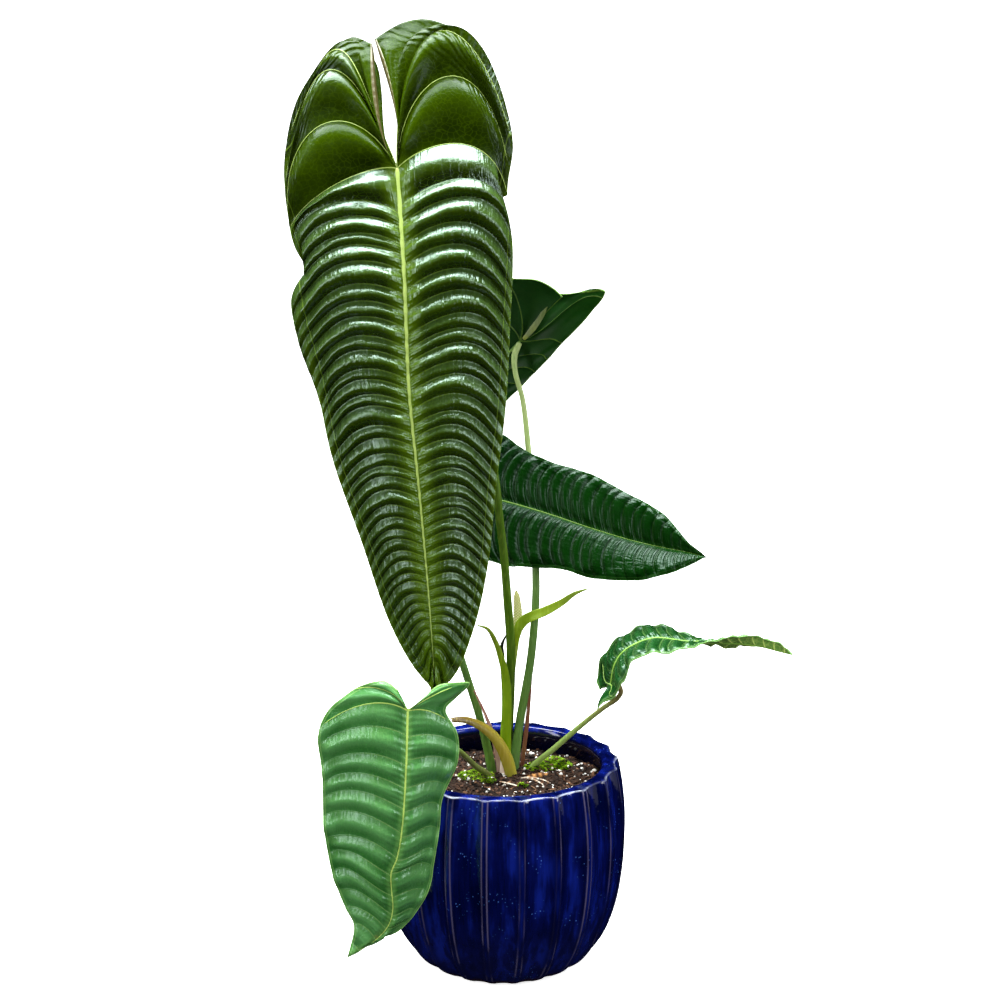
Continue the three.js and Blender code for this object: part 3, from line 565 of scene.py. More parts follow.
perlite, tree, shader = new_finish("perlite", Roughness=0.85, Specular_IOR_Level=0.3)
colour = mix_paint(tree, mark_on(tree, "tone"), paint(226, 222, 214), paint(250, 249, 246))
feed(tree, colour, shader.inputs["Base Color"])
where = place_on(tree)
pores = cells(tree, where, 1500.0)
emboss(tree, shader, pores, 0.0004, 0.7)
scatter("perlite_grains", PERLITE_GRAINS, perlite_spot, perlite_grain, perlite)


def moss_tuft(_):
    """A rosette of thin pointed leaflets, each folded along its middle."""
    points, faces = [], []
    for leaflet in range(5):
        turn = 2 * math.pi * (leaflet + soil_lot.random()) / 5
        length, width = soil_lot.uniform(1.4, 3.0), soil_lot.uniform(0.35, 0.6)
        rise = soil_lot.uniform(0.4, 1.1)
        out = np.array([math.cos(turn), math.sin(turn), 0])
        side = np.array([-math.sin(turn), math.cos(turn), 0])
        up = np.array([0, 0, 1.0])
        base = len(points)
        points += [out * 0.1, out * length * 0.5 + side * width + up * rise * length * 0.5,
                   out * length * 0.55 + up * (rise * length * 0.5 - 0.2),
                   out * length * 0.5 - side * width + up * rise * length * 0.5,
                   out * length + up * rise * length * 0.8]
        faces += [(base, base + 2, base + 1), (base, base + 3, base + 2),
                  (base + 1, base + 2, base + 4), (base + 2, base + 3, base + 4)]
    return np.array(points), faces


def moss_spot(_):
    """A place on one of the moss cushions, the wider ones drawn more often."""
    weights = np.array([rx * ry for _, _, rx, ry in MOSS_CUSHIONS], float)
    cx, cy, rx, ry = MOSS_CUSHIONS[soil_lot.choice(len(weights), p=weights / weights.sum())]
    r, a = soil_lot.random() ** 0.6, soil_lot.random() * 2 * math.pi
    x, y = cx + rx * r * math.cos(a), cy + ry * r * math.sin(a)
    return np.array([x, y, float(soil_height(x, y)) + 0.1])


moss, tree, shader = new_finish("moss", Roughness=0.7, Specular_IOR_Level=0.3)
greens = shade_by(tree, mark_on(tree, "tone"), (0, paint(60, 92, 4)), (0.55, paint(120, 164, 8)),
                  (1, paint(176, 206, 24)))
feed(tree, greens, shader.inputs["Base Color"])
scatter("moss_tufts", MOSS_TUFTS, moss_spot, moss_tuft, moss)


# Rhizome and surface roots
# The plant's short stem: a squat body under the mix, ringed with the scars of old
# leaves. Its old end has come up to the surface, and pale roots run out beside it.

STEM_FOOT = 205
RHIZOME_RINGS = [(0.5, 150), (0.85, 158), (1, 175), (1, 193), (0.86, 206.5)]
RHIZOME_CENTRE = (9, 46)
RHIZOME_HALF = (42, 34)
OLD_END = [(22, 28, STEM_FOOT - 8), (25, 22, 214), (33, 18, 224), (44, 18, 228.5), (56, 21, 227)]
OLD_END_SIZE = [(0, 7, 7), (0.5, 5, 5), (1, 3.5, 3.5)]


def size_along(rows, share):
    """Half width and half depth at each share of the way."""
    rows = np.array(rows, float)
    return [np.interp(share, rows[:, 0], rows[:, k]) * MM for k in (1, 2)]


def sweep_oval(route, rows, facing, steps, sides, cup=0.0, swell=None):
    """An oval section carried along a route, its edges bent by cup, closed at both ends."""
    curve = Route(route)
    share = np.linspace(0, 1, steps)
    centre = curve.at(share)
    along = unit(curve.at(np.clip(share + 2e-3, 0, 1)) - curve.at(np.clip(share - 2e-3, 0, 1)))
    across = unit(np.cross(facing, along))
    out = np.cross(along, across)
    width, depth = size_along(rows, share)
    if swell is not None:
        width, depth = width * swell(share), depth * swell(share)
    turn = np.linspace(0, 2 * math.pi, sides, endpoint=False)
    x, y = np.cos(turn)[None, :] * width[:, None], np.sin(turn)[None, :] * depth[:, None]
    y = y + cup * width[:, None] * (np.cos(turn)[None, :] ** 2 - 0.4)
    points = centre[:, None] + across[:, None] * x[..., None] + out[:, None] * y[..., None]
    faces = bridge_rings(steps, sides) + close_ends(steps, sides)
    return points.reshape(-1, 3), faces, {"along": np.repeat(share, sides)}


def unit(vector):
    vector = np.asarray(vector, float)
    return vector / np.linalg.norm(vector, axis=-1, keepdims=True)


husk, tree, shader = new_finish("rhizome_bark", Roughness=0.85, Specular_IOR_Level=0.3)
where = place_on(tree)
grain = noise(tree, where, 120.0, 6.0)
rings = place_node(tree, "TexWave", {"Vector": where, "Scale": 45.0, "Distortion": 3.0,
                                     "Detail": 2.0}, bands_direction="X").outputs["Fac"]
both = times(tree, plus(tree, grain, rings), 0.5)
colour = shade_by(tree, both, (0.25, paint(70, 40, 22)), (0.75, paint(176, 124, 70)))
feed(tree, colour, shader.inputs["Base Color"])
emboss(tree, shader, both, 0.002, 0.8)

knob_points, knob_sides = [], 48
for row, (share, height) in enumerate(RHIZOME_RINGS):
    for i in range(knob_sides):
        a = 2 * math.pi * i / knob_sides
        knob = share * (1 + 0.06 * math.sin(3 * a + row)) * 0.97
        knob_points.append(((RHIZOME_CENTRE[0] + RHIZOME_HALF[0] * knob * math.cos(a)) * MM,
                            (RHIZOME_CENTRE[1] + RHIZOME_HALF[1] * knob * math.sin(a)) * MM,
                            height * MM))
knob_rows = len(RHIZOME_RINGS)
knob_faces = bridge_rings(knob_rows, knob_sides) + close_ends(knob_rows, knob_sides)
end_points, end_faces, _ = sweep_oval(OLD_END, OLD_END_SIZE, (0, 0, 1), 60, 20,
                                      swell=lambda s: 1 + 0.1 * np.sin(s * 60) + 0.06 * np.sin(s * 23))
rhizome = new_piece("old_rhizome", np.concatenate([knob_points, end_points]),
                    knob_faces + shifted(end_faces, len(knob_points)), [husk])
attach(rhizome, "root")
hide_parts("rhizome")

ROOTS = [[(30, 12, 227), (36, 2, 230.5), (44, -6, 229.5), (52, -14, 227)],
         [(22, 14, 227), (30, 6, 231), (41, 4, 231), (50, 2, 228)],
         [(38, 10, 228), (45, 0, 231), (50, -2, 230.5), (58, -4, 227.5)],
         [(-4, 2, 227), (4, -10, 230), (14, -16, 229.5), (26, -20, 227)]]
ROOT_SIZE = [(0, 1.0, 1.0), (0.7, 0.9, 0.9), (1, 0.3, 0.3)]
root_skin, tree, shader = new_finish("root_skin", Roughness=0.6, Specular_IOR_Level=0.3)
where = place_on(tree)
stain = noise(tree, where, 170.0, 4.0)
colour = mix_paint(tree, fade(tree, stain, 0.4, 0.62), paint(236, 226, 210), paint(176, 140, 112))
feed(tree, colour, shader.inputs["Base Color"])
emboss(tree, shader, stain, 0.0006, 0.5)
for number, route in enumerate(ROOTS):
    points, faces, _ = sweep_oval(route, ROOT_SIZE, (0, 0, 1), 26, 10)
    root = new_piece(f"surface_root_{number + 1}", points, faces, [root_skin])
    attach(root, "root")


# Leaf stalks
# Each leaf hangs from one firm, round stalk that rises from the rhizome. Under the blade
# the stalk swells to a yellowish joint, by which the leaf turns to the light.


def stalk_finish(name, foot, middle, top, streak, foot_share=0.2):
    """Smooth waxy skin that changes colour from the foot to the top, with fine streaks."""
    material, tree, shader = new_finish(name, Specular_IOR_Level=0.5)
    along = mark_on(tree, "along")
    where = place_on(tree)
    long_way = stretched(tree, where, (420, 420, 26))
    streaks = noise(tree, long_way, 1.0, 4.0)
    mottle = noise(tree, where, 40.0, 5.0)
    colour = mix_paint(tree, fade(tree, along, 0.0, foot_share), foot, middle)
    colour = mix_paint(tree, fade(tree, along, 0.45, 0.95), colour, top)
    colour = mix_paint(tree, fade(tree, streaks, 0.48, 0.7, 0.0, 0.45), colour, streak)
    colour = mix_paint(tree, fade(tree, mottle, 0.5, 0.75, 0.0, 0.35), colour, foot)
    specks = fade(tree, cells(tree, where, 330.0), 0.14, 0.06, 0.0, 0.3)
    colour = mix_paint(tree, specks, colour, streak)
    feed(tree, colour, shader.inputs["Base Color"])
    feed(tree, fade(tree, mottle, 0.25, 0.75, 0.28, 0.45), shader.inputs["Roughness"])
    emboss(tree, shader, streaks, 0.0006, 0.5)
    return material


def joint_swell(strength, start=0.955):
    """A swelling just under the blade."""
    def swell(share):
        return 1 + strength * np.exp(-((share - (start + 1) / 2) / ((1 - start) * 0.55)) ** 2)
    return swell


STALKS = [
    {
        "name": "petiole_giant", "slot": "giant_petiole", "facing": (0, -1, 0),
        "route": [(3, 56, STEM_FOOT), (4, 55, 240), (7, 48, 289), (9.5, 34, 384), (5.5, 24, 450),
                  (0.5, 14, 515), (-4, 8, 554), (-8, 2, 596), (-26, -2, 700), (-68, -8, 830),
                  (-104, -18, 925), (-118, -32, 966), (-119, -40, 973)],
        "size": [(0, 6.5, 6.5), (0.12, 6, 6), (0.4, 4.8, 4.8), (1, 4.2, 4.2)],
        "skin": (paint(80, 106, 14), paint(70, 102, 6), paint(104, 134, 30), paint(120, 150, 44)),
    },
    {
        "name": "petiole_upper", "slot": "upper_petiole", "facing": (0, -1, 0),
        "route": [(13, 44, STEM_FOOT), (14, 44, 236), (21, 47, 290), (34, 50, 368),
                  (40, 54, 444), (40, 62, 483), (39, 78, 527), (34, 96, 586), (31, 106, 621),
                  (24, 112, 681), (15, 113, 715), (14, 115, 735), (20, 119, 750)],
        "size": [(0, 6.5, 6.5), (0.15, 5.5, 5.5), (0.5, 4.6, 4.6), (0.85, 3.2, 3.2), (1, 3, 3)],
        "skin": (paint(84, 124, 60), paint(94, 132, 60), paint(184, 204, 130), paint(140, 172, 96)),
    },
    {
        "name": "petiole_middle", "slot": "middle_petiole", "facing": (0, -1, 0),
        "route": [(-12, 44, STEM_FOOT), (-14, 41, 228), (-28, 32, 297), (-46, 24, 361),
                  (-62, 22, 415), (-75, 30, 464), (-80, 44, 506), (-76, 59, 540),
                  (-66, 69, 562), (-54, 68, 573)],
        "size": [(0, 6, 6), (0.2, 5, 5), (1, 3.8, 3.8)],
        "skin": (paint(92, 132, 52), paint(84, 124, 48), paint(96, 134, 56), paint(130, 168, 88)),
    },
    {
        "name": "petiole_front", "slot": "front_petiole", "facing": (0, 0, 1),
        "route": [(-16, 20, STEM_FOOT), (-17, 16, 227), (-34, -20, 256), (-51, -80, 296),
                  (-73, -120, 327), (-93, -148, 355), (-104, -160, 370), (-108, -166, 376)],
        "size": [(0, 4.5, 4.5), (0.2, 3.6, 3.6), (1, 3, 3)],
        "skin": (paint(116, 104, 66), paint(98, 116, 48), paint(110, 140, 60), paint(150, 160, 90)),
    },
    {
        "name": "petiole_small", "slot": "small_petiole", "facing": (0, 0, 1),
        "route": [(30, 46, STEM_FOOT), (34, 43, 227), (65, 32, 261), (100, 10, 301),
                  (123, -8, 327), (136, -18, 340), (141, -25, 351), (138, -29, 360),
                  (130, -30, 363)],
        "size": [(0, 4.5, 4.5), (0.2, 3.6, 3.6), (0.85, 3, 3), (1, 3, 3)],
        "skin": (paint(134, 160, 82), paint(136, 164, 82), paint(140, 124, 72), paint(176, 196, 120)),
    },
]
for stalk in STALKS:
    skin = stalk_finish(stalk["slot"] + "_skin", *stalk["skin"])
    points, faces, marks = sweep_oval(stalk["route"], stalk["size"], stalk["facing"], 170, 24,
                                      swell=joint_swell(0.28))
    piece = new_piece("stalk_of_" + stalk["name"][8:], points, faces, [skin], marks)
    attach(piece, "root")
    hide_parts(stalk["name"])


# Sheath leaves
# A bract wraps each new shoot while it grows. Two are still fleshy, one green and one
# turning yellow; the older ones have dried to papery brown strips beside the stalks.

SHEATHS = [
    {
        "name": "green_cataphyll", "slot": "green_sheath", "facing": (-0.3, -1, 0), "cup": -0.3,
        "route": [(3, 36, STEM_FOOT + 8), (3, 35, 240), (3, 34, 276), (4, 32, 305), (4, 30, 336),
                  (2, 28, 359), (-2, 27, 375), (-9, 27, 397), (-19, 28, 414), (-31, 30, 418)],
        "size": [(0, 7, 1.8), (0.25, 7, 2), (0.55, 6, 1.9), (0.7, 4.6, 1.8), (0.9, 3, 1.2), (1, 0.9, 0.7)],
        "skin": (paint(140, 170, 8), paint(112, 148, 2), paint(104, 122, 10), paint(140, 168, 20)),
    },
    {
        "name": "yellow_cataphyll", "slot": "yellow_sheath", "facing": (0.2, -0.6, 0.8), "cup": -0.35,
        "route": [(11, 24, STEM_FOOT + 8), (11, 22, 227), (6, 18, 250), (-4, 13, 273),
                  (-14, 7, 288), (-28, 0, 301), (-45, -9, 311), (-62, -18, 314)],
        "size": [(0, 7, 2.2), (0.25, 9.5, 2.4), (0.6, 8, 2), (0.85, 5.5, 1.4), (1, 3.5, 1)],
        "skin": (paint(176, 174, 60), paint(150, 134, 36), paint(88, 66, 12), paint(176, 158, 70)),
    },
    {
        "name": "dry_cataphyll_right", "slot": "dry_sheath", "facing": (0.5, -1, 0), "cup": 0.3,
        "route": [(22, 57, STEM_FOOT + 10), (25, 58, 240), (30, 58, 287), (33, 58, 320), (36, 58, 356)],
        "size": [(0, 2.6, 0.8), (0.5, 3.2, 0.7), (1, 0.9, 0.5)],
        "skin": (paint(120, 74, 52), paint(132, 80, 58), paint(150, 84, 64), paint(170, 120, 92)),
    },
    {
        "name": "dry_cataphyll_left", "slot": "pale_dry_sheath", "facing": (0.3, -1, 0), "cup": 0.3,
        "route": [(-5, 33, STEM_FOOT + 10), (-6, 31, 240), (-14, 24, 284), (-22, 20, 308), (-35, 14, 340)],
        "size": [(0, 2.6, 0.8), (0.5, 3, 0.7), (1, 0.8, 0.5)],
        "skin": (paint(206, 178, 168), paint(190, 150, 140), paint(176, 110, 96), paint(214, 190, 176)),
    },
    # The near-black sheath fills a dark place behind the stalks; its colour is painted shade as well as
    # withered tissue
    {
        "name": "withered_sheath", "slot": "black_sheath", "facing": (-0.4, -1, 0), "cup": 0.3,
        "route": [(-6.5, 61, STEM_FOOT + 8), (-5, 61, 240), (0.5, 61, 289), (0.5, 60, 340),
                  (-1, 60, 368), (-1, 60, 384), (4, 60, 397)],
        "size": [(0, 2.4, 0.9), (0.6, 2.6, 0.9), (0.85, 3.8, 0.8), (1, 0.8, 0.5)],
        "skin": (paint(34, 36, 10), paint(20, 26, 6), paint(12, 20, 4), paint(46, 56, 18)),
    },
]
for sheath in SHEATHS:
    skin = stalk_finish(sheath["slot"] + "_skin", *sheath["skin"], foot_share=0.35)
    points, faces, marks = sweep_oval(sheath["route"], sheath["size"], sheath["facing"], 120, 28,
                                      cup=sheath["cup"])
    piece = new_piece("sheath_" + sheath["slot"][:-7], points, faces, [skin], marks)
    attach(piece, "root")
    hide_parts(sheath["name"])

# The pale, torn foot of an old bract
SHEATH_BASE = [(4, 26, STEM_FOOT + 12), (3, 24, 228), (2, 23, 240), (1, 22, 252), (0, 21, 262)]
SHEATH_BASE_SIZE = [(0, 7, 3), (0.4, 6.5, 2.6), (0.8, 3.4, 1.6), (1, 0.6, 0.5)]
base_skin = stalk_finish("sheath_base_skin", paint(214, 180, 160), paint(236, 214, 200),
                         paint(214, 200, 176), paint(246, 236, 224))
points, faces, marks = sweep_oval(SHEATH_BASE, SHEATH_BASE_SIZE, (0, -1, 0), 40, 20, cup=-0.2)
piece = new_piece("sheath_base", points, faces, [base_skin], marks)
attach(piece, "root")


# Inflorescence
# A young flower head on its own thin stalk: a cream spike set with hundreds of tiny
# florets, and the green bract that had wrapped it, now bent back with a pinkish tip.

FLOWER_STALK = [(6, 68, STEM_FOOT), (6, 67, 227), (8, 62, 286), (12, 57, 350), (17, 52, 394)]
BRACT = [(16, 52, 385), (17, 46, 399), (19, 41, 411), (24, 39, 420), (31, 36, 426),
         (49, 27, 436), (69, 16, 450), (86, 6, 465), (100, -2, 473)]
BRACT_SIZE = [(0, 2.6, 2.2), (0.1, 4, 1.8), (0.25, 6.4, 1.7), (0.55, 5.6, 1.8), (0.8, 3.4, 1.5),
              (1, 0.9, 0.8)]
SPADIX = [(17, 52, 394), (18, 50.5, 412), (18, 49, 430), (17, 47, 446), (16, 46, 457)]
SPADIX_SIZE = [(0, 3, 3), (0.15, 5.7, 5.7), (0.6, 5.5, 5.5), (0.9, 3.8, 3.8), (1, 1.2, 1.2)]

FLOWER_STALK_SIZE = [(0, 4.2, 4.2), (0.3, 3.4, 3.4), (1, 3.2, 3.2)]
# The florets stand in two crossing sets of spirals
FLORET_ROWS = 34
FLORET_SLANT = 8 / math.pi
FLORET_PITCH = 1.6

flower_skin = stalk_finish("flower_stalk_skin", paint(150, 170, 70), paint(168, 190, 70),
                           paint(176, 200, 70), paint(196, 214, 110))
bract_skin = stalk_finish("bract_skin", paint(160, 190, 20), paint(146, 178, 30),
                          paint(126, 150, 50), paint(176, 200, 70))
parts = [sweep_oval(FLOWER_STALK, FLOWER_STALK_SIZE, (0, -1, 0), 90, 20),
         sweep_oval(BRACT, BRACT_SIZE, (0.1, -1, 0.35), 110, 28, cup=0.25)]
flower_faces = parts[0][1] + shifted(parts[1][1], len(parts[0][0]))
flower_marks = {name: np.concatenate([part[2][name] for part in parts]) for name in parts[0][2]}
flower = new_piece("flower_stalk_and_bract", np.concatenate([part[0] for part in parts]), flower_faces,
                   [flower_skin, bract_skin], flower_marks,
                   [0] * len(parts[0][1]) + [1] * len(parts[1][1]))
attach(flower, "root")
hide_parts("flower_stalk")

spadix_rows, spadix_sides = 150, 64
points, faces, marks = sweep_oval(SPADIX, SPADIX_SIZE, (0, -1, 0), spadix_rows, spadix_sides)
grid = points.reshape(spadix_rows, spadix_sides, 3)
middle = grid.mean(axis=1, keepdims=True)
row, side = np.meshgrid(np.linspace(0, FLORET_ROWS, spadix_rows),
                        np.linspace(0, 2 * math.pi, spadix_sides, endpoint=False), indexing="ij")
florets = np.abs(np.sin((row + side * FLORET_SLANT) * FLORET_PITCH)
                 * np.sin((row - side * FLORET_SLANT) * FLORET_PITCH))
grid = middle + (grid - middle) * (0.93 + 0.1 * florets[..., None])
cream, tree, shader = new_finish("spadix_florets", Roughness=0.55, Specular_IOR_Level=0.35)
raised = fade(tree, mark_on(tree, "floret"), 0.0, 0.6)
colour = mix_paint(tree, raised, paint(190, 192, 92), paint(240, 240, 176))
tip = fade(tree, mark_on(tree, "along"), 0.7, 1.0, 0.0, 0.6)
colour = mix_paint(tree, tip, colour, paint(214, 214, 130))
feed(tree, colour, shader.inputs["Base Color"])
spadix = new_piece("flower_spike", grid.reshape(-1, 3), faces, [cream],
                   {"floret": florets.ravel(), "along": marks["along"]})
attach(spadix, "root")
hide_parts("spadix")


# Leaves
# Each blade is one sheet that grew in pleats between its side veins. The veins are
# pressed into the glossy upper face and stand out as pale keels on the matt underside.

BLADE = 1.5 * MM
KEEL = 3 * MM
# The main veins of the lobes are sunk this deep into the blade
VEIN_SINK = 0.4 * MM
# The sheets end just short of the tip, where both halves meet
TIP_PLACE = 0.997

GIANT = {
    "name": "giant", "upper": (0, -1, 0.04), "laterals": 34, "ease": 0.3, "lean": 0.35,
    "ramp": 0.1, "lobe_warp": 0.55, "pleat": 7.2, "lobe_pleat": 13, "camber": 0.05, "fold": "shingle",
    "midrib": [(-119, -45, 975), (-111, -78, 862), (-106, -98, 734), (-95, -106, 615),
               (-85, -105, 488), (-79, -92, 374)],
    "halves": [
        {
            "margin": [(-149, -28, 1112), (-174, -18, 1119), (-208, -10, 1090),
                       (-236, -13, 1047), (-249, -12, 981), (-243, -30, 910),
                       (-233, -43, 869), (-230, -55, 816), (-214, -67, 746),
                       (-196, -78, 653), (-163, -86, 554), (-131, -86, 455),
                       (-104, -88, 403), (-79, -92, 374)],
            "veins": [(-1, 0, 56, 0.22, -99, 0.27), (-0.93, 0.03, 63, 0.34, -106, 0.36),
                      (-0.86, 0.09, 65, 0.6, -227, 0.75), (-0.8, 0.15, 67, 0.75, -238, 1.2),
                      (-0.75, 0.21, 70, 1, -247, 1.45), (-0.5, 0.27, 72, 1.35, -258, 1.14),
                      (-0.25, 0.314, 65, 0.74, -271, 0.85), (0, 0.324, 16, 0.24, -247, 0.28),
                      (0.06, 0.345, 47, 0.4, -277, 0.4), (0.14, 0.439, 32, 0.44, -263, 0.49),
                      (0.28, 0.536, 31, 0.4, -253, 0.55), (0.45, 0.666, 34, 0.37, -235, 0.52),
                      (0.62, 0.79, 37, 0.43, -250, 0.61), (0.78, 0.904, 29, 0.4, -238, 0.49),
                      (0.9, 0.979, 13, 0.22, -197, 0.32), (1, 1, 5, 0.2, -180, 0.2)],
            "crests": [-1, -0.75, -0.5, -0.25, 0],
            "laterals": [0, 0.068, 0.089, 0.113, 0.129, 0.153, 0.189, 0.216, 0.241, 0.272, 0.295,
                         0.325, 0.342, 0.367, 0.386, 0.419, 0.441, 0.469, 0.493, 0.512, 0.539,
                         0.569, 0.593, 0.618, 0.636, 0.659, 0.679, 0.704, 0.72, 0.747, 0.768,
                         0.787, 0.807, 0.828, 0.852, 0.88, 0.92, 0.997],
        },
        {
            "margin": [(-146, -31, 1117), (-131, -27, 1127), (-113, -20, 1136),
                       (-85, -19, 1139), (-43, -15, 1120), (-7, -13, 1069), (11, -15, 1003),
                       (5, -18, 948), (11, -39, 883), (8, -58, 802), (3, -73, 709),
                       (-8, -82, 618), (-18, -86, 522), (-34, -86, 449), (-57, -90, 393),
                       (-79, -92, 374)],
            "veins": [(-1, 0, 77, 0.35, -77, 0.36), (-0.93, 0.028, 78, 0.4, -103, 0.32),
                      (-0.86, 0.083, 81, 0.7, -150, 0.45), (-0.8, 0.176, 86, 1.2, -258, 0.5),
                      (-0.75, 0.28, 88, 1.36, -260, 1.44), (-0.4, 0.314, 85, 0.82, -265, 1.34),
                      (0, 0.345, 42, 0.34, -265, 0.66), (0.07, 0.395, 35, 0.5, -268, 0.59),
                      (0.13, 0.458, 39, 0.52, -258, 0.5), (0.25, 0.535, 33, 0.52, -249, 0.53),
                      (0.45, 0.698, 28, 0.48, -243, 0.55), (0.62, 0.802, 31, 0.48, -242, 0.61),
                      (0.78, 0.901, 24, 0.38, -241, 0.52), (0.9, 0.983, 20, 0.38, -225, 0.2),
                      (1, 1, 17, 0.3, -208, 0.2)],
            "crests": [-1, -0.75, -0.4, 0],
            "laterals": [0, 0.056, 0.082, 0.114, 0.145, 0.182, 0.216, 0.253, 0.276, 0.298, 0.326,
                         0.346, 0.377, 0.404, 0.426, 0.45, 0.481, 0.503, 0.534, 0.559, 0.58,
                         0.602, 0.626, 0.652, 0.682, 0.708, 0.735, 0.757, 0.777, 0.797, 0.818,
                         0.842, 0.872, 0.915, 0.997],
        },
    ],
}

UPPER = {
    "name": "upper", "upper": (0.25, 0.8, 0.5), "laterals": 8, "ease": 0.3,
    "lean": 0, "pleat": 2.5, "lobe_pleat": 2.5, "camber": 0.04, "fold": "quilt",
    "midrib": [(21, 120, 753), (-4, 138, 723), (-35, 160, 678), (-80, 190, 599)],
    "halves": [
        {
            "margin": [(71, 78, 813), (44, 84, 831), (9, 92, 832), (-28, 108, 820),
                       (-62, 130, 783), (-83, 155, 723), (-91, 178, 662), (-80, 190, 599)],
            "veins": [(-1, 0, 90, 0.3, -90, 0.3), (-0.5, 0.2, 70, 0.35, -150, 0.3),
                      (0, 0.42, 40, 0.33, -220, 0.35), (1, 1, 30, 0.33, -220, 0.35)],
            "crests": [-1, -0.5, 0],
        },
        {
            "margin": [(60, 96, 813), (98, 74, 819), (121, 62, 822), (104, 82, 791),
                       (75, 102, 756), (45, 122, 719), (9, 150, 677), (-35, 175, 630),
                       (-80, 190, 599)],
            "veins": [(-1, 0, 90, 0.3, -90, 0.3), (-0.5, 0.2, 60, 0.35, -150, 0.3),
                      (0, 0.42, 25, 0.33, -200, 0.35), (1, 1, 30, 0.33, -220, 0.35)],
            "crests": [-1, -0.5, 0],
        },
    ],
}

MIDDLE = {
    "name": "middle", "upper": (-0.1, -0.8, 0.6), "laterals": 24, "ease": 0.2,
    "lean": 0, "pleat": 2.6, "lobe_pleat": 3, "camber": 0.07, "fold": "quilt",
    "midrib": [(-52, 64, 576), (-4, 66, 566), (51, 62, 551), (103, 54, 535), (156, 44, 521),
               (194, 32, 515), (224, 20, 512), (243, 10, 509)],
    "halves": [
        {
            "margin": [(-86, 72, 592), (-70, 90, 625), (-34, 98, 644), (0, 98, 640),
                       (19, 94, 627), (59, 88, 608), (94, 84, 599), (126, 78, 586),
                       (162, 64, 568.5), (183, 56, 559.5), (197, 46, 550.5), (209, 36, 538),
                       (222, 24, 525), (243, 10, 509)],
            "veins": [(-1, 0, 90, 0.3, -90, 0.3), (-0.5, 0.12, 80, 0.4, -180, 0.4),
                      (0, 0.24, 45, 0.35, -230, 0.4), (1, 1, 30, 0.33, -225, 0.4)],
            "crests": [-1, -0.5, 0],
        },
        {
            "margin": [(-89, 66, 573), (-86, 44, 534), (-52, 38, 503), (-15, 38, 497),
                       (6, 36, 491), (37, 34, 490), (69, 30, 489), (97, 24, 482), (128, 16, 479),
                       (170, 6, 483), (200, 2, 492), (243, 10, 509)],
            "veins": [(-1, 0, 90, 0.3, -90, 0.3), (-0.5, 0.12, 80, 0.4, -180, 0.4),
                      (0, 0.24, 45, 0.35, -230, 0.4), (1, 1, 30, 0.33, -225, 0.4)],
            "crests": [-1, -0.5, 0],
        },
    ],
}

FRONT = {
    "name": "front", "upper": (0, -1, 0.1), "laterals": 13, "ease": 0.2,
    "lean": 0, "pleat": 5.5, "lobe_pleat": 4, "camber": 0.07, "fold": "shingle",
    "midrib": [(-108, -168, 377), (-110, -180, 311), (-115, -188, 242), (-121, -187, 207),
               (-128, -186, 188), (-128, -184, 167), (-127, -180, 141), (-132, -176, 120),
               (-147, -168, 98), (-182, -158, 70)],
    "halves": [
        {
            "margin": [(-119, -163, 400), (-132, -158, 409), (-147, -158, 408),
                       (-173, -152, 395), (-202, -146, 367), (-212, -146, 340),
                       (-208, -148, 291), (-207, -150, 225), (-195, -152, 160),
                       (-184, -154, 132), (-174, -156, 110), (-182, -158, 70)],
            "veins": [(-1, 0, 75, 0.3, -120, 0.3), (-0.5, 0.14, 65, 0.4, -200, 0.4),
                      (0, 0.3, 35, 0.35, -225, 0.35), (1, 1, 25, 0.33, -220, 0.35)],
            "crests": [-1, -0.5, 0],
        },
        {
            "margin": [(-92, -164, 390), (-73, -158, 404), (-49, -152, 406), (-38, -150, 404),
                       (-53, -150, 386), (-65, -152, 374), (-52, -152, 343), (-52, -152, 310),
                       (-70, -152, 264), (-73, -152, 231), (-80, -152, 185), (-84, -152, 160),
                       (-94, -152, 136), (-116, -154, 107), (-152, -156, 88), (-182, -158, 70)],
            "veins": [(-1, 0, 55, 0.3, -120, 0.3), (-0.5, 0.13, 40, 0.35, -170, 0.3),
                      (0, 0.27, 20, 0.35, -225, 0.35), (1, 1, 25, 0.33, -220, 0.35)],
            "crests": [-1, -0.5, 0],
        },
    ],
}

SMALL = {
    "name": "small", "upper": (-0.3, -0.5, 0.8), "upper_tip": (0, 0.35, 0.93), "laterals": 18,
    "ease": 0.2, "lean": 0, "pleat": 2.6, "lobe_pleat": 2, "camber": 0.02, "fold": "shingle",
    "midrib": [(128, -30, 363), (132, -30, 386), (141, -30, 402), (158, -30, 414),
               (180, -30, 421), (218, -30, 417), (251, -32, 417), (293, -36, 416), (343, -40, 404)],
    "halves": [
        {
            "margin": [(116, -14, 350), (113, 0, 358), (118, 6, 383), (129, 8, 399),
                       (150, 8, 416), (179, 8, 426), (213, 4, 419), (247, -8, 406),
                       (274, -20, 407), (310, -30, 412), (343, -40, 404)],
            "veins": [(-1, 0, 120, 0.3, -60, 0.3), (0, 0.14, 20, 0.33, -200, 0.33),
                      (1, 1, 20, 0.33, -200, 0.33)],
            "crests": [-1, 0],
        },
        {
            "margin": [(120, -40, 350), (111, -56, 341), (121, -62, 352), (133, -66, 363),
                       (143, -70, 384), (153, -70, 406), (167, -70, 413), (195, -68, 415),
                       (231, -58, 421), (255, -50, 425), (293, -46, 428), (327, -42, 417),
                       (343, -40, 404)],
            "veins": [(-1, 0, 120, 0.3, -60, 0.3), (0, 0.16, 20, 0.33, -200, 0.33),
                      (1, 1, 20, 0.33, -200, 0.33)],
            "crests": [-1, 0],
        },
    ],
}


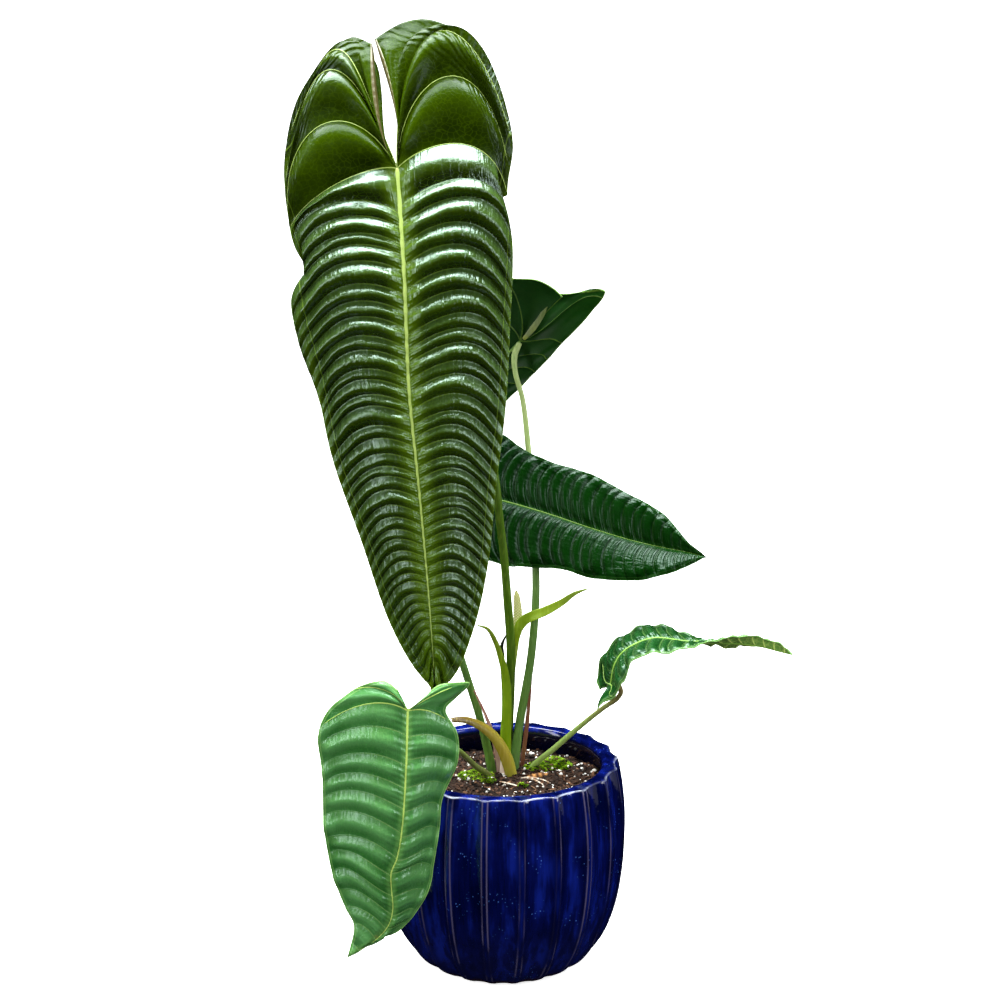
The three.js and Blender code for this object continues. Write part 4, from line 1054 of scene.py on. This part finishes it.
def shingle(x):
    """A fold like a roof tile: up steeply from its vein, round over, and a long slope down."""
    top = 0.45
    t = np.clip(x / top, 0, 1)
    return np.where(x < top, 1.25 * t - 0.25 * t ** 5, 1 - ease((x - top) / 0.55))


def quilt(x):
    """A fold like a quilt: a round swelling between two pressed veins."""
    return np.sin(np.pi * np.clip(x, 0, 1) ** 0.8) ** 0.7


FOLDS = {"shingle": shingle, "quilt": quilt}


class Half:
    """One half of a blade. Places run from -1 at the sinus through 0 at the stalk to 1 at the tip."""

    def __init__(self, leaf, side):
        self.leaf, self.side = leaf, side
        half = leaf["halves"][side]
        self.midrib, self.margin = Route(leaf["midrib"]), Route(half["margin"])
        self.veins, self.crests = np.array(half["veins"], float), half["crests"]
        self.laterals = half.get("laterals") or self.space_laterals(leaf["laterals"])
        self.base, self.tip = unit(leaf["upper"]), unit(leaf.get("upper_tip", leaf["upper"]))

    def space_laterals(self, count):
        """Places of the laterals, even but for a small shift of each."""
        shifts = [(0.34 * draw_lot(i, self.side + 3) - 0.17) * (0 < i < count) for i in range(count + 1)]
        return [(i + shift) / count for i, shift in enumerate(shifts)]

    def share_at(self, place):
        """The share of the midrib's length at a place."""
        x, crowd = np.maximum(place, 0), self.leaf["ease"]
        return x * (1 + crowd) - crowd * x * x

    def axes(self, place):
        """The upper face's direction, towards the base, and out from the midrib."""
        turn = ease(np.maximum(place, 0))[..., None]
        upper = unit(self.base * (1 - turn) + self.tip * turn)
        share = self.share_at(place)
        back = self.midrib.at(np.clip(share - 1e-3, 0, 1)) - self.midrib.at(np.clip(share + 1e-3, 0, 1))
        back = unit(back - upper * (back * upper).sum(-1, keepdims=True))
        out = np.cross(upper, back)
        width = self.margin.at(np.array(0.5)) - self.midrib.at(np.array(0.5))
        return upper, back, out * np.sign((out * width).sum(-1, keepdims=True))

    def sheet(self, place, across):
        """Points of the smooth sheet, before its pleats."""
        rows = self.veins
        end, angle, reach, end_angle, end_reach = [
            np.interp(place, rows[:, 0], rows[:, k]) for k in range(1, 6)]
        start, stop = self.midrib.at(self.share_at(place)), self.margin.at(end)
        length = np.linalg.norm(stop - start, axis=-1)
        upper, back, out = self.axes(place)

        def handle(point, degrees, part):
            turn = np.radians(degrees)
            return (point + out * (np.cos(turn) * part * length)[..., None]
                    + back * (np.sin(turn) * part * length)[..., None])

        first, last = handle(start, angle, reach), handle(stop, end_angle, end_reach)
        u = across[..., None]
        point = (start * (1 - u) ** 3 + first * 3 * u * (1 - u) ** 2
                 + last * 3 * u * u * (1 - u) + stop * u ** 3)
        joint, joint_back = self.midrib.at(np.array(0.0)), self.axes(np.array(0.0))[1]
        above = np.maximum(0, ((point - joint) * joint_back).sum(-1))
        lift = self.leaf["camber"] * length * 4 * across * (1 - across) - self.leaf["lean"] * above
        return point + upper * lift[..., None]

    def rows(self, steps, lobe_steps):
        """Place, phase, number and relative width of the pleat of every row of points."""
        rows = []
        for tile, (start, stop) in enumerate(zip(self.crests, self.crests[1:])):
            rows += [(start + (stop - start) * x, x, -tile - 1, 1) for x in lobe_steps]
        for number, (start, stop) in enumerate(zip(self.laterals, self.laterals[1:])):
            gap = (self.share_at(stop) - self.share_at(start)) * self.leaf["laterals"]
            rows += [(start + (stop - start) * x, x, number, gap) for x in steps]
        rows.append((TIP_PLACE, 0, len(self.laterals), 0))
        return np.array(rows).T


def nearest(points, line):
    """The distance from each point to a line given by many samples."""
    flat = points.reshape(-1, 3)
    found = np.full(len(flat), 1e9)
    for sample in line:
        found = np.minimum(found, ((flat - sample) ** 2).sum(-1))
    return np.sqrt(found).reshape(points.shape[:-1])


def running_length(points, axis):
    """The length walked along one axis of a grid of points."""
    steps = np.linalg.norm(np.diff(points, axis=axis), axis=-1)
    return np.concatenate([np.zeros_like(steps.take([0], axis)), np.cumsum(steps, axis=axis)], axis=axis)


def lay_half(leaf, side, steps, lobe_steps, columns, shape):
    """The grid of one half's upper face, with what the shape and the finish need to know."""
    half = Half(leaf, side)
    place, phase, number, gap = half.rows(steps, lobe_steps)
    p, u = np.meshgrid(place, np.asarray(columns), indexing="ij")
    x, n, wide = [row[:, None] + 0 * u for row in (phase, number, gap)]
    sheet = half.sheet(p, u)
    upper, back, out = half.axes(p)
    # The first pleat is low, and no two of the others are equally high
    unequal = np.where(n == 0, 0.4, 1)
    strength = np.where(p < 0, leaf["lobe_pleat"], leaf["pleat"] * wide * unequal)
    strength = strength * np.where(p < 0, 1, 0.82 + 0.36 * draw_lot(n, side + 1)) * MM
    ramp = ease(u / leaf.get("ramp", 0.2)) * (1 - 0.75 * ease((u - 0.82) / 0.18))
    folded = np.where(p < 0, x ** leaf.get("lobe_warp", 1), x)
    height = strength * ramp * FOLDS[leaf["fold"]](folded)
    run, lay = running_length(sheet, 1), running_length(sheet, 0)
    here = dict(place=p, across=u, phase=x, number=n, run=run, lay=lay, strength=strength,
                ramp=ramp, side=side, back=back, out=out, upper=upper)
    sheet, height = shape(here, sheet, height)
    # The nearest lateral, measured across the pleat
    starts = np.flatnonzero(phase == 0)
    width = np.zeros_like(p)
    for a, b in zip(starts, starts[1:]):
        width[a:b] = lay[b] - lay[a]
    here.update(vein=np.minimum(x, 1 - x) * width, rib=nearest(sheet, half.midrib.line[::6]),
                edge=nearest(sheet, half.margin.line[::3]), fold=height / (strength + 1e-9),
                crest=(p <= 0) * 1.0, top=sheet + upper * height[..., None])
    return here


MARKS = ("vein", "rib", "edge", "run", "lay", "fold", "phase", "crest")


def grow_blade(leaf, steps, lobe_steps, columns, finishes, shape):
    """A blade of two closed halves, each with an upper face, an underside and a rim."""
    points, faces, finish_index, base = [], [], [], 0
    marks = {name: [] for name in MARKS}
    for side in (0, 1):
        here = lay_half(leaf, side, steps, lobe_steps, columns, shape)
        rows, cols = here["place"].shape
        small_keel = 0.5 * MM * np.exp(-(here["vein"] / (0.8 * MM)) ** 2) * here["ramp"]
        down = here["top"] - here["upper"] * (BLADE + small_keel)[..., None]
        grid = np.arange(rows * cols).reshape(rows, cols) + base
        quads = np.stack([grid[:-1, :-1], grid[:-1, 1:], grid[1:, 1:], grid[1:, :-1]], -1).reshape(-1, 4)
        around = np.concatenate([grid[0, :], grid[1:, -1], grid[-1, -2::-1], grid[-2::-1, 0]])
        low = around + rows * cols
        rim = np.stack([around[:-1], low[:-1], low[1:], around[1:]], -1)
        turned_over = np.cross(here["out"][0, 0], -here["back"][0, 0]) @ here["upper"][0, 0] < 0
        order = slice(None, None, -1 if turned_over else 1)
        other = slice(None, None, 1 if turned_over else -1)
        faces += [quads[:, order], quads[:, other] + rows * cols, rim[:, order]]
        finish_index += [[0] * len(quads), [1] * len(quads), [0] * len(rim)]
        points += [here["top"].reshape(-1, 3), down.reshape(-1, 3)]
        for name in MARKS:
            marks[name] += [here[name].ravel(), here[name].ravel()]
        base += 2 * rows * cols
    piece = new_piece("blade_of_" + leaf["name"], np.concatenate(points), np.concatenate(faces),
                      finishes, {name: np.concatenate(values) for name, values in marks.items()},
                      np.concatenate(finish_index))
    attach(piece, "root")
    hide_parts("blade_" + leaf["name"])


ROLL_POINTS = 7


def roll_edge(name, points, inward, upper, width, lift, finish):
    """The edge of a blade rolled over its face: a band of this width, lifted along its middle."""
    share = np.linspace(0, 1, ROLL_POINTS)
    band = np.array([np.stack([np.interp(w * share, near, line[:, k]) for k in range(3)], -1)
                     for line, near, w in zip(points, inward, width)])
    rise = (1.0 + lift * np.sin(math.pi * share)[None, :] * (width / width.max())[:, None]) * MM
    band = band + upper[:, None] * rise[..., None]
    ring = np.concatenate([band, (band - upper[:, None] * 0.9 * MM)[:, ::-1]], axis=1)
    rows = len(ring)
    faces = bridge_rings(rows, 2 * ROLL_POINTS) + close_ends(rows, 2 * ROLL_POINTS)
    roll = new_piece(name, ring.reshape(-1, 3), faces, [finish],
                     {"rim": np.tile(np.abs(np.concatenate([share, share[::-1]]) * 2 - 1) ** 3, rows)})
    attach(roll, "root")


def tube(centre, across, upper, half_width, up, down, sides=16):
    """A closed bar with a rounded back, of another height above than below."""
    turn = np.linspace(0, 2 * math.pi, sides, endpoint=False)
    x = np.cos(turn)[None, :] * half_width[:, None]
    y = np.sin(turn)[None, :] * np.where(np.sin(turn)[None, :] > 0, up[:, None], down[:, None])
    points = centre[:, None] + across[:, None] * x[..., None] + upper[:, None] * y[..., None]
    rows = len(centre)
    faces = bridge_rings(rows, sides) + close_ends(rows, sides)
    return points.reshape(-1, 3), faces, np.tile(np.abs(np.cos(turn)), rows)


def raise_ribs(leaf, finish, width, crest_width, tip_width=0.22):
    """The midrib, proud of both faces, and the main veins of the basal lobes."""
    bars = []
    half = Half(leaf, 0)
    place = np.concatenate([[0, 0.002, 0.006], np.linspace(0.012, TIP_PLACE, 120)])
    share = half.share_at(place)
    upper, _, out = half.axes(place)
    taper = width * (1 - (1 - tip_width) * share ** 0.75) * MM
    cap = np.minimum(1, 0.55 + place / 0.012)
    centre = half.midrib.at(share) - upper * (BLADE / 2)
    bars.append(tube(centre, out, upper, taper * cap, BLADE / 2 + 0.42 * taper * cap,
                     BLADE / 2 + KEEL * (1 - place) ** 0.7 + 0.3 * MM))
    for side in (0, 1):
        half = Half(leaf, side)
        for crest in half.crests[1:]:
            across = np.linspace(0.0, 0.97, 70)
            place = np.full_like(across, crest)
            line, upper = half.sheet(place, across), half.axes(place)[0]
            out = unit(np.cross(upper, unit(np.gradient(line, axis=0))))
            taper = crest_width * (1 - 0.72 * across ** 0.5) * MM
            bars.append(tube(line - upper * VEIN_SINK, out, upper, taper,
                             0.55 * taper + VEIN_SINK, 0.3 * taper, 10))
    points, faces, rims, shift = [], [], [], 0
    for bar_points, bar_faces, rim in bars:
        points.append(bar_points)
        faces += shifted(bar_faces, shift)
        rims.append(rim)
        shift += len(bar_points)
    piece = new_piece("ribs_of_" + leaf["name"], np.concatenate(points), faces, [finish],
                      {"rim": np.concatenate(rims)})
    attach(piece, "root")


def leaf_face_group():
    """Colour, roughness and height of a leaf's upper face, from the marks on its points."""
    group = bpy.data.node_groups.new("leaf_face", "ShaderNodeTree")
    face = group.interface
    inputs = {"Deep": (0.02, 0.05, 0.005, 1), "Fresh": (0.08, 0.2, 0.02, 1),
              "Vein": (0.5, 0.7, 0.2, 1), "Margin": (0.3, 0.5, 0.15, 1)}
    for name, value in inputs.items():
        face.new_socket(name, in_out="INPUT", socket_type="NodeSocketColor").default_value = value
    sizes = {"Vein Width": 0.0008, "Vein Strength": 0.5, "Rib Glow": 0.014, "Edge Width": 0.006,
             "Ripple": 1.0, "Net": 1.0, "Blemish": 0.5, "Fold Light": 0.6, "Creases": 0.0, "Painted Sheen": 0.0}
    for name, value in sizes.items():
        face.new_socket(name, in_out="INPUT", socket_type="NodeSocketFloat").default_value = value
    face.new_socket("Color", in_out="OUTPUT", socket_type="NodeSocketColor")
    for name in ("Roughness", "Height", "Wax"):
        face.new_socket(name, in_out="OUTPUT", socket_type="NodeSocketFloat")
    given = group.nodes.new("NodeGroupInput").outputs
    result = group.nodes.new("NodeGroupOutput")
    mark = {name: mark_on(group, name) for name in MARKS}
    where = place_on(group)
    # Coordinates that follow the leaf: along each vein, and from vein to vein
    follow = place_node(group, "CombineXYZ", {0: mark["run"], 1: mark["lay"]}).outputs[0]
    ripples = stretched(group, follow, (210, 40, 1))
    ripple = noise(group, ripples, 1.0, 3.0, Distortion=0.6)
    warp = place_node(group, "TexNoise", {"Vector": where, "Scale": 60.0, "Detail": 3.0}).outputs[1]
    net_cells = stretched(group, where, (150, 150, 190))
    net_cells = place_node(group, "VectorMath", {0: net_cells, 1: warp}, operation="ADD").outputs[0]
    net_line = fade(group, cells(group, net_cells, 1.0, "DISTANCE_TO_EDGE"), 0.09, 0.01)
    patch = noise(group, where, 13.0, 5.0, Roughness=0.6)
    colour = mix_paint(group, fade(group, patch, 0.32, 0.75, 0.0, 0.55), given["Deep"], given["Fresh"])
    # Painted light: the high part of each pleat is painted towards the fresh green, lighter where light
    # falls on it
    raised = times(group, fade(group, mark["fold"], 0.2, 1.0), given["Fold Light"])
    colour = mix_paint(group, raised, colour, given["Fresh"])
    colour = mix_paint(group, times(group, net_line, 0.1), colour, given["Margin"])
    near_rib = fade(group, mark["rib"], given["Rib Glow"], 0.002, 0.0, 0.6)
    colour = mix_paint(group, near_rib, colour, given["Margin"])
    # The collective vein runs a little way in from the margin
    inside = fade(group, mark["edge"], given["Edge Width"], 0.001, 0.0, 0.3)
    colour = mix_paint(group, inside, colour, given["Margin"])
    inward = sum_up(group, "SUBTRACT", mark["edge"], given["Edge Width"])
    collective = fade(group, sum_up(group, "ABSOLUTE", inward), 0.0008, 0.0003, 0.0, 0.35)
    thin = fade(group, mark["run"], 0.0, 0.08, 1.5, 0.8)
    vein_width = times(group, given["Vein Width"], thin)
    vein_line = fade(group, mark["vein"], vein_width, times(group, vein_width, 0.35))
    vein_line = times(group, vein_line, fade(group, mark["edge"], 0.003, 0.007))
    strong = fade(group, mark["run"], 0.01, 0.075, 1.0, 0.12)
    strong = times(group, strong, given["Vein Strength"])
    vein_tint = times(group, vein_line, strong)
    colour = mix_paint(group, sum_up(group, "MAXIMUM", vein_tint, collective), colour, given["Vein"])
    rim_line = fade(group, mark["edge"], 0.0014, 0.0005, 0.0, 0.8)
    colour = mix_paint(group, rim_line, colour, given["Vein"])
    # A painted sheen on the shoulder of each pleat, just below its vein
    painted_sheen = times(group, fade(group, mark["phase"], 0.5, 0.3), fade(group, ripple, 0.3, 0.7, 0.5, 1.0))
    painted_sheen = times(group, painted_sheen, rest_of(group, mark["crest"]))
    painted_sheen = times(group, painted_sheen, fade(group, mark["rib"], 0.003, 0.03, 0.15, 1.0))
    painted_sheen = times(group, painted_sheen, rest_of(group, vein_tint))
    colour = mix_paint(group, times(group, painted_sheen, given["Painted Sheen"]), colour, paint(128, 176, 100))
    # Brown scars
    chosen = noise(group, where, 9.0, 1.0)
    scar = times(group, fade(group, cells(group, where, 34.0), 0.14, 0.04), fade(group, chosen, 0.68, 0.73))
    scar = times(group, scar, given["Blemish"])
    colour = mix_paint(group, scar, colour, paint(150, 105, 60))
    feed(group, colour, result.inputs["Color"])
    wax = noise(group, where, 70.0, 4.0)
    # The lobes' middle is dull with age
    dull = times(group, mark["crest"], fade(group, mark["edge"], 0.004, 0.05, 0.45, 0.92))
    feed(group, rest_of(group, dull), result.inputs["Wax"])
    feed(group, fade(group, wax, 0.25, 0.75, 0.15, 0.28), result.inputs["Roughness"])
    calm = rest_of(group, times(group, mark["crest"], 0.75))
    height = times(group, times(group, ripple, calm), given["Ripple"])
    # Small pleats across the outer part of the lobes
    bend = noise(group, where, 22.0, 2.0)
    turn = plus(group, times(group, mark["run"], 92.0), times(group, bend, 2.5))
    turn = sum_up(group, "FRACT", turn)
    crease = sum_up(group, "MINIMUM", fade(group, turn, 0.0, 0.4), fade(group, turn, 1.0, 0.4))
    outer = times(group, fade(group, mark["edge"], 0.065, 0.03), fade(group, mark["run"], 0.12, 0.18))
    crease = times(group, times(group, crease, outer), mark["crest"])
    height = plus(group, height, times(group, crease, given["Creases"]))
    net_depth = times(group, given["Net"], -0.1)
    height = plus(group, height, times(group, net_line, net_depth))
    height = plus(group, height, times(group, vein_line, 0.25))
    # Small veins run beside the laterals where these leave the midrib
    small = sum_up(group, "SINE", times(group, mark["phase"], 25.0))
    small = times(group, small, fade(group, mark["rib"], 0.04, 0.008, 0.0, 0.22))
    height = plus(group, height, small)
    feed(group, height, result.inputs["Height"])
    return group


leaf_face = leaf_face_group()


def upper_finish(name, colours, sizes, glow, shine=0.5):
    """The glossy upper face of one leaf, which lets a little light through."""
    material, tree, shader = new_finish(name, Specular_Tint=(0.74, 1.0, 0.9, 1))
    surface = tree.nodes.new("ShaderNodeGroup")
    surface.node_tree = leaf_face
    for socket, value in {**colours, **sizes}.items():
        surface.inputs[socket].default_value = value
    feed(tree, surface.outputs["Color"], shader.inputs["Base Color"])
    feed(tree, surface.outputs["Roughness"], shader.inputs["Roughness"])
    feed(tree, times(tree, surface.outputs["Wax"], shine), shader.inputs["Specular IOR Level"])
    normal = emboss(tree, shader, surface.outputs["Height"], 0.0014, 0.8)
    through = place_node(tree, "BsdfTranslucent", {"Color": glow, "Normal": normal})
    both = place_node(tree, "MixShader", {0: 0.07, 1: shader.outputs[0], 2: through.outputs[0]})
    feed(tree, both.outputs[0], tree.nodes["Material Output"].inputs["Surface"])
    return material


def under_finish(name, flesh, vein, vein_width, net_share=0.3):
    """The matt underside of one leaf, paler, with raised veins."""
    material, tree, shader = new_finish(name, Specular_IOR_Level=0.35)
    where = place_on(tree)
    mark = {m: mark_on(tree, m) for m in ("vein", "edge")}
    patch = noise(tree, where, 18.0, 5.0)
    to_cell_edge = cells(tree, where, 170.0, "DISTANCE_TO_EDGE")
    dark = tuple(c * 0.62 for c in flesh[:3]) + (1,)
    colour = mix_paint(tree, fade(tree, patch, 0.3, 0.7), dark, flesh)
    net = fade(tree, to_cell_edge, 0.12, 0.02, 0.0, net_share)
    colour = mix_paint(tree, net, colour, vein)
    lines = sum_up(tree, "MAXIMUM", fade(tree, mark["vein"], vein_width, vein_width * 0.4),
                   fade(tree, mark["edge"], 0.0018, 0.0006))
    colour = mix_paint(tree, lines, colour, vein)
    feed(tree, colour, shader.inputs["Base Color"])
    feed(tree, fade(tree, patch, 0.2, 0.8, 0.45, 0.6), shader.inputs["Roughness"])
    raised = plus(tree, lines, times(tree, net, 0.8))
    emboss(tree, shader, raised, 0.0006, 0.6)
    return material


def rib_finish(name, back, flank):
    """The smooth, fleshy skin of a midrib: pale along its back, greener on its flanks."""
    material, tree, shader = new_finish(name, Roughness=0.35, Specular_IOR_Level=0.4)
    rim = mark_on(tree, "rim")
    where = place_on(tree)
    grain = noise(tree, where, 220.0, 3.0)
    colour = mix_paint(tree, fade(tree, rim, 0.45, 1.0), back, flank)
    colour = mix_paint(tree, fade(tree, grain, 0.5, 0.75, 0.0, 0.3), colour, flank)
    feed(tree, colour, shader.inputs["Base Color"])
    emboss(tree, shader, grain, 0.0003, 0.4)
    return material


def giant_shape(here, sheet, height):
    """Ripples on the pleats' shoulders, pleats that hang over, a torn notch and a fold in the margins."""
    x, u, p, n, side = here["phase"], here["across"], here["place"], here["number"], here["side"]
    run, back, out = here["run"] / MM, here["back"], here["out"]
    # Each pleat hangs a little over the vein below it
    sag = np.sin(np.pi * np.clip(x, 0, 1)) ** 2 * ease(u / 0.2) * (1 - ease((u - 0.85) / 0.13))
    sag = sag * np.where(p < 0, 1.5 * MM, 0.16 * here["strength"])
    sheet = sheet - back * sag[..., None]
    lot = draw_lot(n, side + 5)
    wave = np.sin(run * (0.5 + 0.25 * lot) + 6 * lot) + 0.6 * np.sin(run * 1.13 + 3 * n)
    shoulder = ease(x / 0.1) * (1 - ease((x - 0.35) / 0.35))
    open_part = ease((u - 0.2) / 0.3) * (1 - ease((u - 0.92) / 0.08))
    height = height + 0.36 * MM * wave * shoulder * open_part
    # The pleats' crests wander a little up and down
    drift = np.sin(run * 0.075 + 5 * lot) + 0.5 * np.sin(run * 0.19 + 9 * lot)
    drift = drift * ease(u / 0.3) * (1 - ease((u - 0.9) / 0.1)) * (p > 0)
    sheet = sheet + back * (MM * drift * ease(x / 0.3) * ease((1 - x) / 0.3))[..., None]
    # A notch torn in the left margin, with the edge pushed out below it; a fold in the right one
    if side == 0:
        tear = ease((p - 0.06) / 0.045) * (p < 0.128) * ease((u - 0.8) / 0.2)
        push = (p >= 0.128) * (1 - ease((p - 0.2) / 0.14)) * ease((u - 0.7) / 0.3)
        shift = 10 * push - 13 * tear
    else:
        shift = -12 * np.exp(-((p - 0.005) / 0.03) ** 2) * ease((u - 0.8) / 0.2)
    sheet = sheet + out * (shift * MM)[..., None]
    return sheet, height


def soft_shape(wave, long_wave=1.0):
    """The gentle waves of a thinner blade's margin, for leaves that hang free."""
    def shape(here, sheet, height):
        u, lay, side = here["across"], here["lay"], here["side"]
        edge_wave = np.sin(lay / MM * 0.11 * long_wave + 2 * side) + 0.5 * np.sin(lay / MM * 0.19 + side)
        return sheet, height + wave * MM * edge_wave * ease((u - 0.6) / 0.4)
    return shape


# Shares of the way across a pleat, a lobe's fold and half a blade at which points are set
PLEAT_STEPS = [0, 0.025, 0.055, 0.095, 0.14, 0.19, 0.25, 0.34, 0.46, 0.6, 0.74, 0.87, 0.96]
SOFT_STEPS = [0, 0.03, 0.08, 0.15, 0.24, 0.34, 0.45, 0.56, 0.67, 0.77, 0.86, 0.93, 0.97]
LOBE_STEPS = list(np.concatenate([[0, 0.008, 0.02, 0.04, 0.065], np.linspace(0.1, 0.9, 18),
                                  [0.94, 0.97, 0.99]]))
GIANT_COLUMNS = np.concatenate([[0.006, 0.03, 0.06, 0.1], np.linspace(0.13, 0.95, 33),
                                [0.97, 0.985, 1]])
SOFT_COLUMNS = np.concatenate([[0.008, 0.03, 0.06, 0.1], np.linspace(0.15, 0.92, 22),
                               [0.95, 0.975, 0.99, 1]])


def dress_leaf(leaf, colours, sizes, glow, under, rib, bars, shape, shine=0.5,
               steps=SOFT_STEPS, columns=SOFT_COLUMNS):
    """A whole leaf. Its colours run from deep over fresh and vein to margin."""
    name = leaf["name"]
    named = dict(zip(("Deep", "Fresh", "Vein", "Margin"), colours))
    finishes = [upper_finish(name + "_leaf_face", named, sizes, glow, shine),
                under_finish(name + "_leaf_underside", *under)]
    rib_skin = rib_finish(name + "_midrib", *rib)
    grow_blade(leaf, steps, LOBE_STEPS, columns, finishes, shape)
    raise_ribs(leaf, rib_skin, *bars)


dress_leaf(
    GIANT, [paint(16, 27, 0), paint(46, 66, 0), paint(128, 160, 50), paint(96, 128, 8)],
    {"Vein Width": 0.0008, "Vein Strength": 0.4, "Rib Glow": 0.024, "Edge Width": 0.0095,
     "Ripple": 1.0, "Net": 0.6, "Creases": 1.3, "Painted Sheen": 0.14},
    glow=paint(110, 160, 10), under=(paint(112, 120, 74), paint(170, 186, 110), 0.0012),
    rib=(paint(180, 204, 108), paint(96, 124, 20)), bars=(4.6, 1.0, 0.16), shape=giant_shape,
    shine=1.0, steps=PLEAT_STEPS, columns=GIANT_COLUMNS)
# The sinus edges are rolled forwards, so that a strip of each shows its dull back
SINUS_ROWS = 22
SINUS_STEPS = 60
sinus_back = rib_finish("sinus_roll", paint(74, 66, 36), paint(110, 122, 60))
sinus_columns = np.linspace(0.1, 0.99, SINUS_STEPS)
lobe_width = (1 + 7.5 * np.sin(math.pi * np.linspace(0.04, 0.96, SINUS_STEPS)) ** 0.8) * MM
for side in (0, 1):
    lobe = lay_half(GIANT, side, PLEAT_STEPS, LOBE_STEPS, sinus_columns, giant_shape)
    roll_edge(f"sinus_roll_{side + 1}", lobe["top"][:SINUS_ROWS].transpose(1, 0, 2),
              lobe["lay"][:SINUS_ROWS].T, lobe["upper"][0], lobe_width, 2.5, sinus_back)

dress_leaf(
    UPPER, [paint(6, 30, 6), paint(20, 62, 18), paint(110, 150, 70), paint(50, 96, 40)],
    {"Vein Width": 0.0008, "Edge Width": 0.003, "Ripple": 0.6, "Net": 0.8},
    glow=paint(60, 130, 20), under=(paint(10, 66, 0), paint(84, 116, 36), 0.001, 0.03),
    rib=(paint(130, 164, 80), paint(60, 100, 40)), bars=(2.2, 1.2), shape=soft_shape(1.0))
# The blade is pinched into a fin where its two basal lobes meet
FIN = [(25, 112, 756), (33, 107, 766), (42, 102, 779), (50, 96, 793), (53, 94, 798)]
FIN_SIZE = [(0, 2.2, 0.8), (0.35, 3.8, 0.8), (0.8, 3, 0.7), (1, 0.6, 0.5)]
fin_skin = stalk_finish("upper_fin", paint(150, 158, 60), paint(128, 140, 96), paint(110, 126, 70),
                        paint(160, 172, 110))
points, faces, marks = sweep_oval(FIN, FIN_SIZE, (-0.2, -1, 0), 40, 16)
fin = new_piece("fin_of_upper", points, faces, [fin_skin], marks)
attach(fin, "root")

dress_leaf(
    MIDDLE, [paint(0, 24, 0), paint(8, 46, 6), paint(44, 84, 30), paint(20, 62, 14)],
    {"Vein Width": 0.0007, "Vein Strength": 0.35, "Rib Glow": 0.006, "Edge Width": 0.003,
     "Ripple": 0.8, "Net": 0.7},
    glow=paint(50, 130, 30), under=(paint(60, 98, 50), paint(130, 160, 90), 0.001),
    rib=(paint(96, 134, 40), paint(30, 76, 16)), bars=(1.7, 1.0), shape=soft_shape(1.2), shine=0.2)
dress_leaf(
    FRONT, [paint(44, 104, 42), paint(98, 160, 94), paint(150, 196, 110), paint(110, 166, 84)],
    {"Vein Width": 0.0008, "Vein Strength": 0.35, "Edge Width": 0.003, "Rib Glow": 0.008,
     "Ripple": 0.9, "Net": 0.6, "Blemish": 0.3, "Fold Light": 0.45, "Painted Sheen": 0.16},
    glow=paint(110, 190, 50), under=(paint(104, 150, 60), paint(170, 200, 110), 0.001),
    rib=(paint(190, 220, 110), paint(110, 170, 60)), bars=(2.2, 1.3), shape=soft_shape(2.0), shine=0.7)
dress_leaf(
    SMALL, [paint(10, 52, 14), paint(32, 80, 36), paint(130, 176, 96), paint(56, 108, 36)],
    {"Vein Width": 0.0008, "Vein Strength": 0.3, "Edge Width": 0.0025, "Rib Glow": 0.004,
     "Ripple": 0.9, "Net": 0.6, "Painted Sheen": 0.1},
    glow=paint(90, 150, 40), under=(paint(110, 156, 64), paint(190, 214, 110), 0.001),
    rib=(paint(150, 190, 80), paint(90, 140, 50)), bars=(1.5, 1.0), shape=soft_shape(1.8, 1.8))
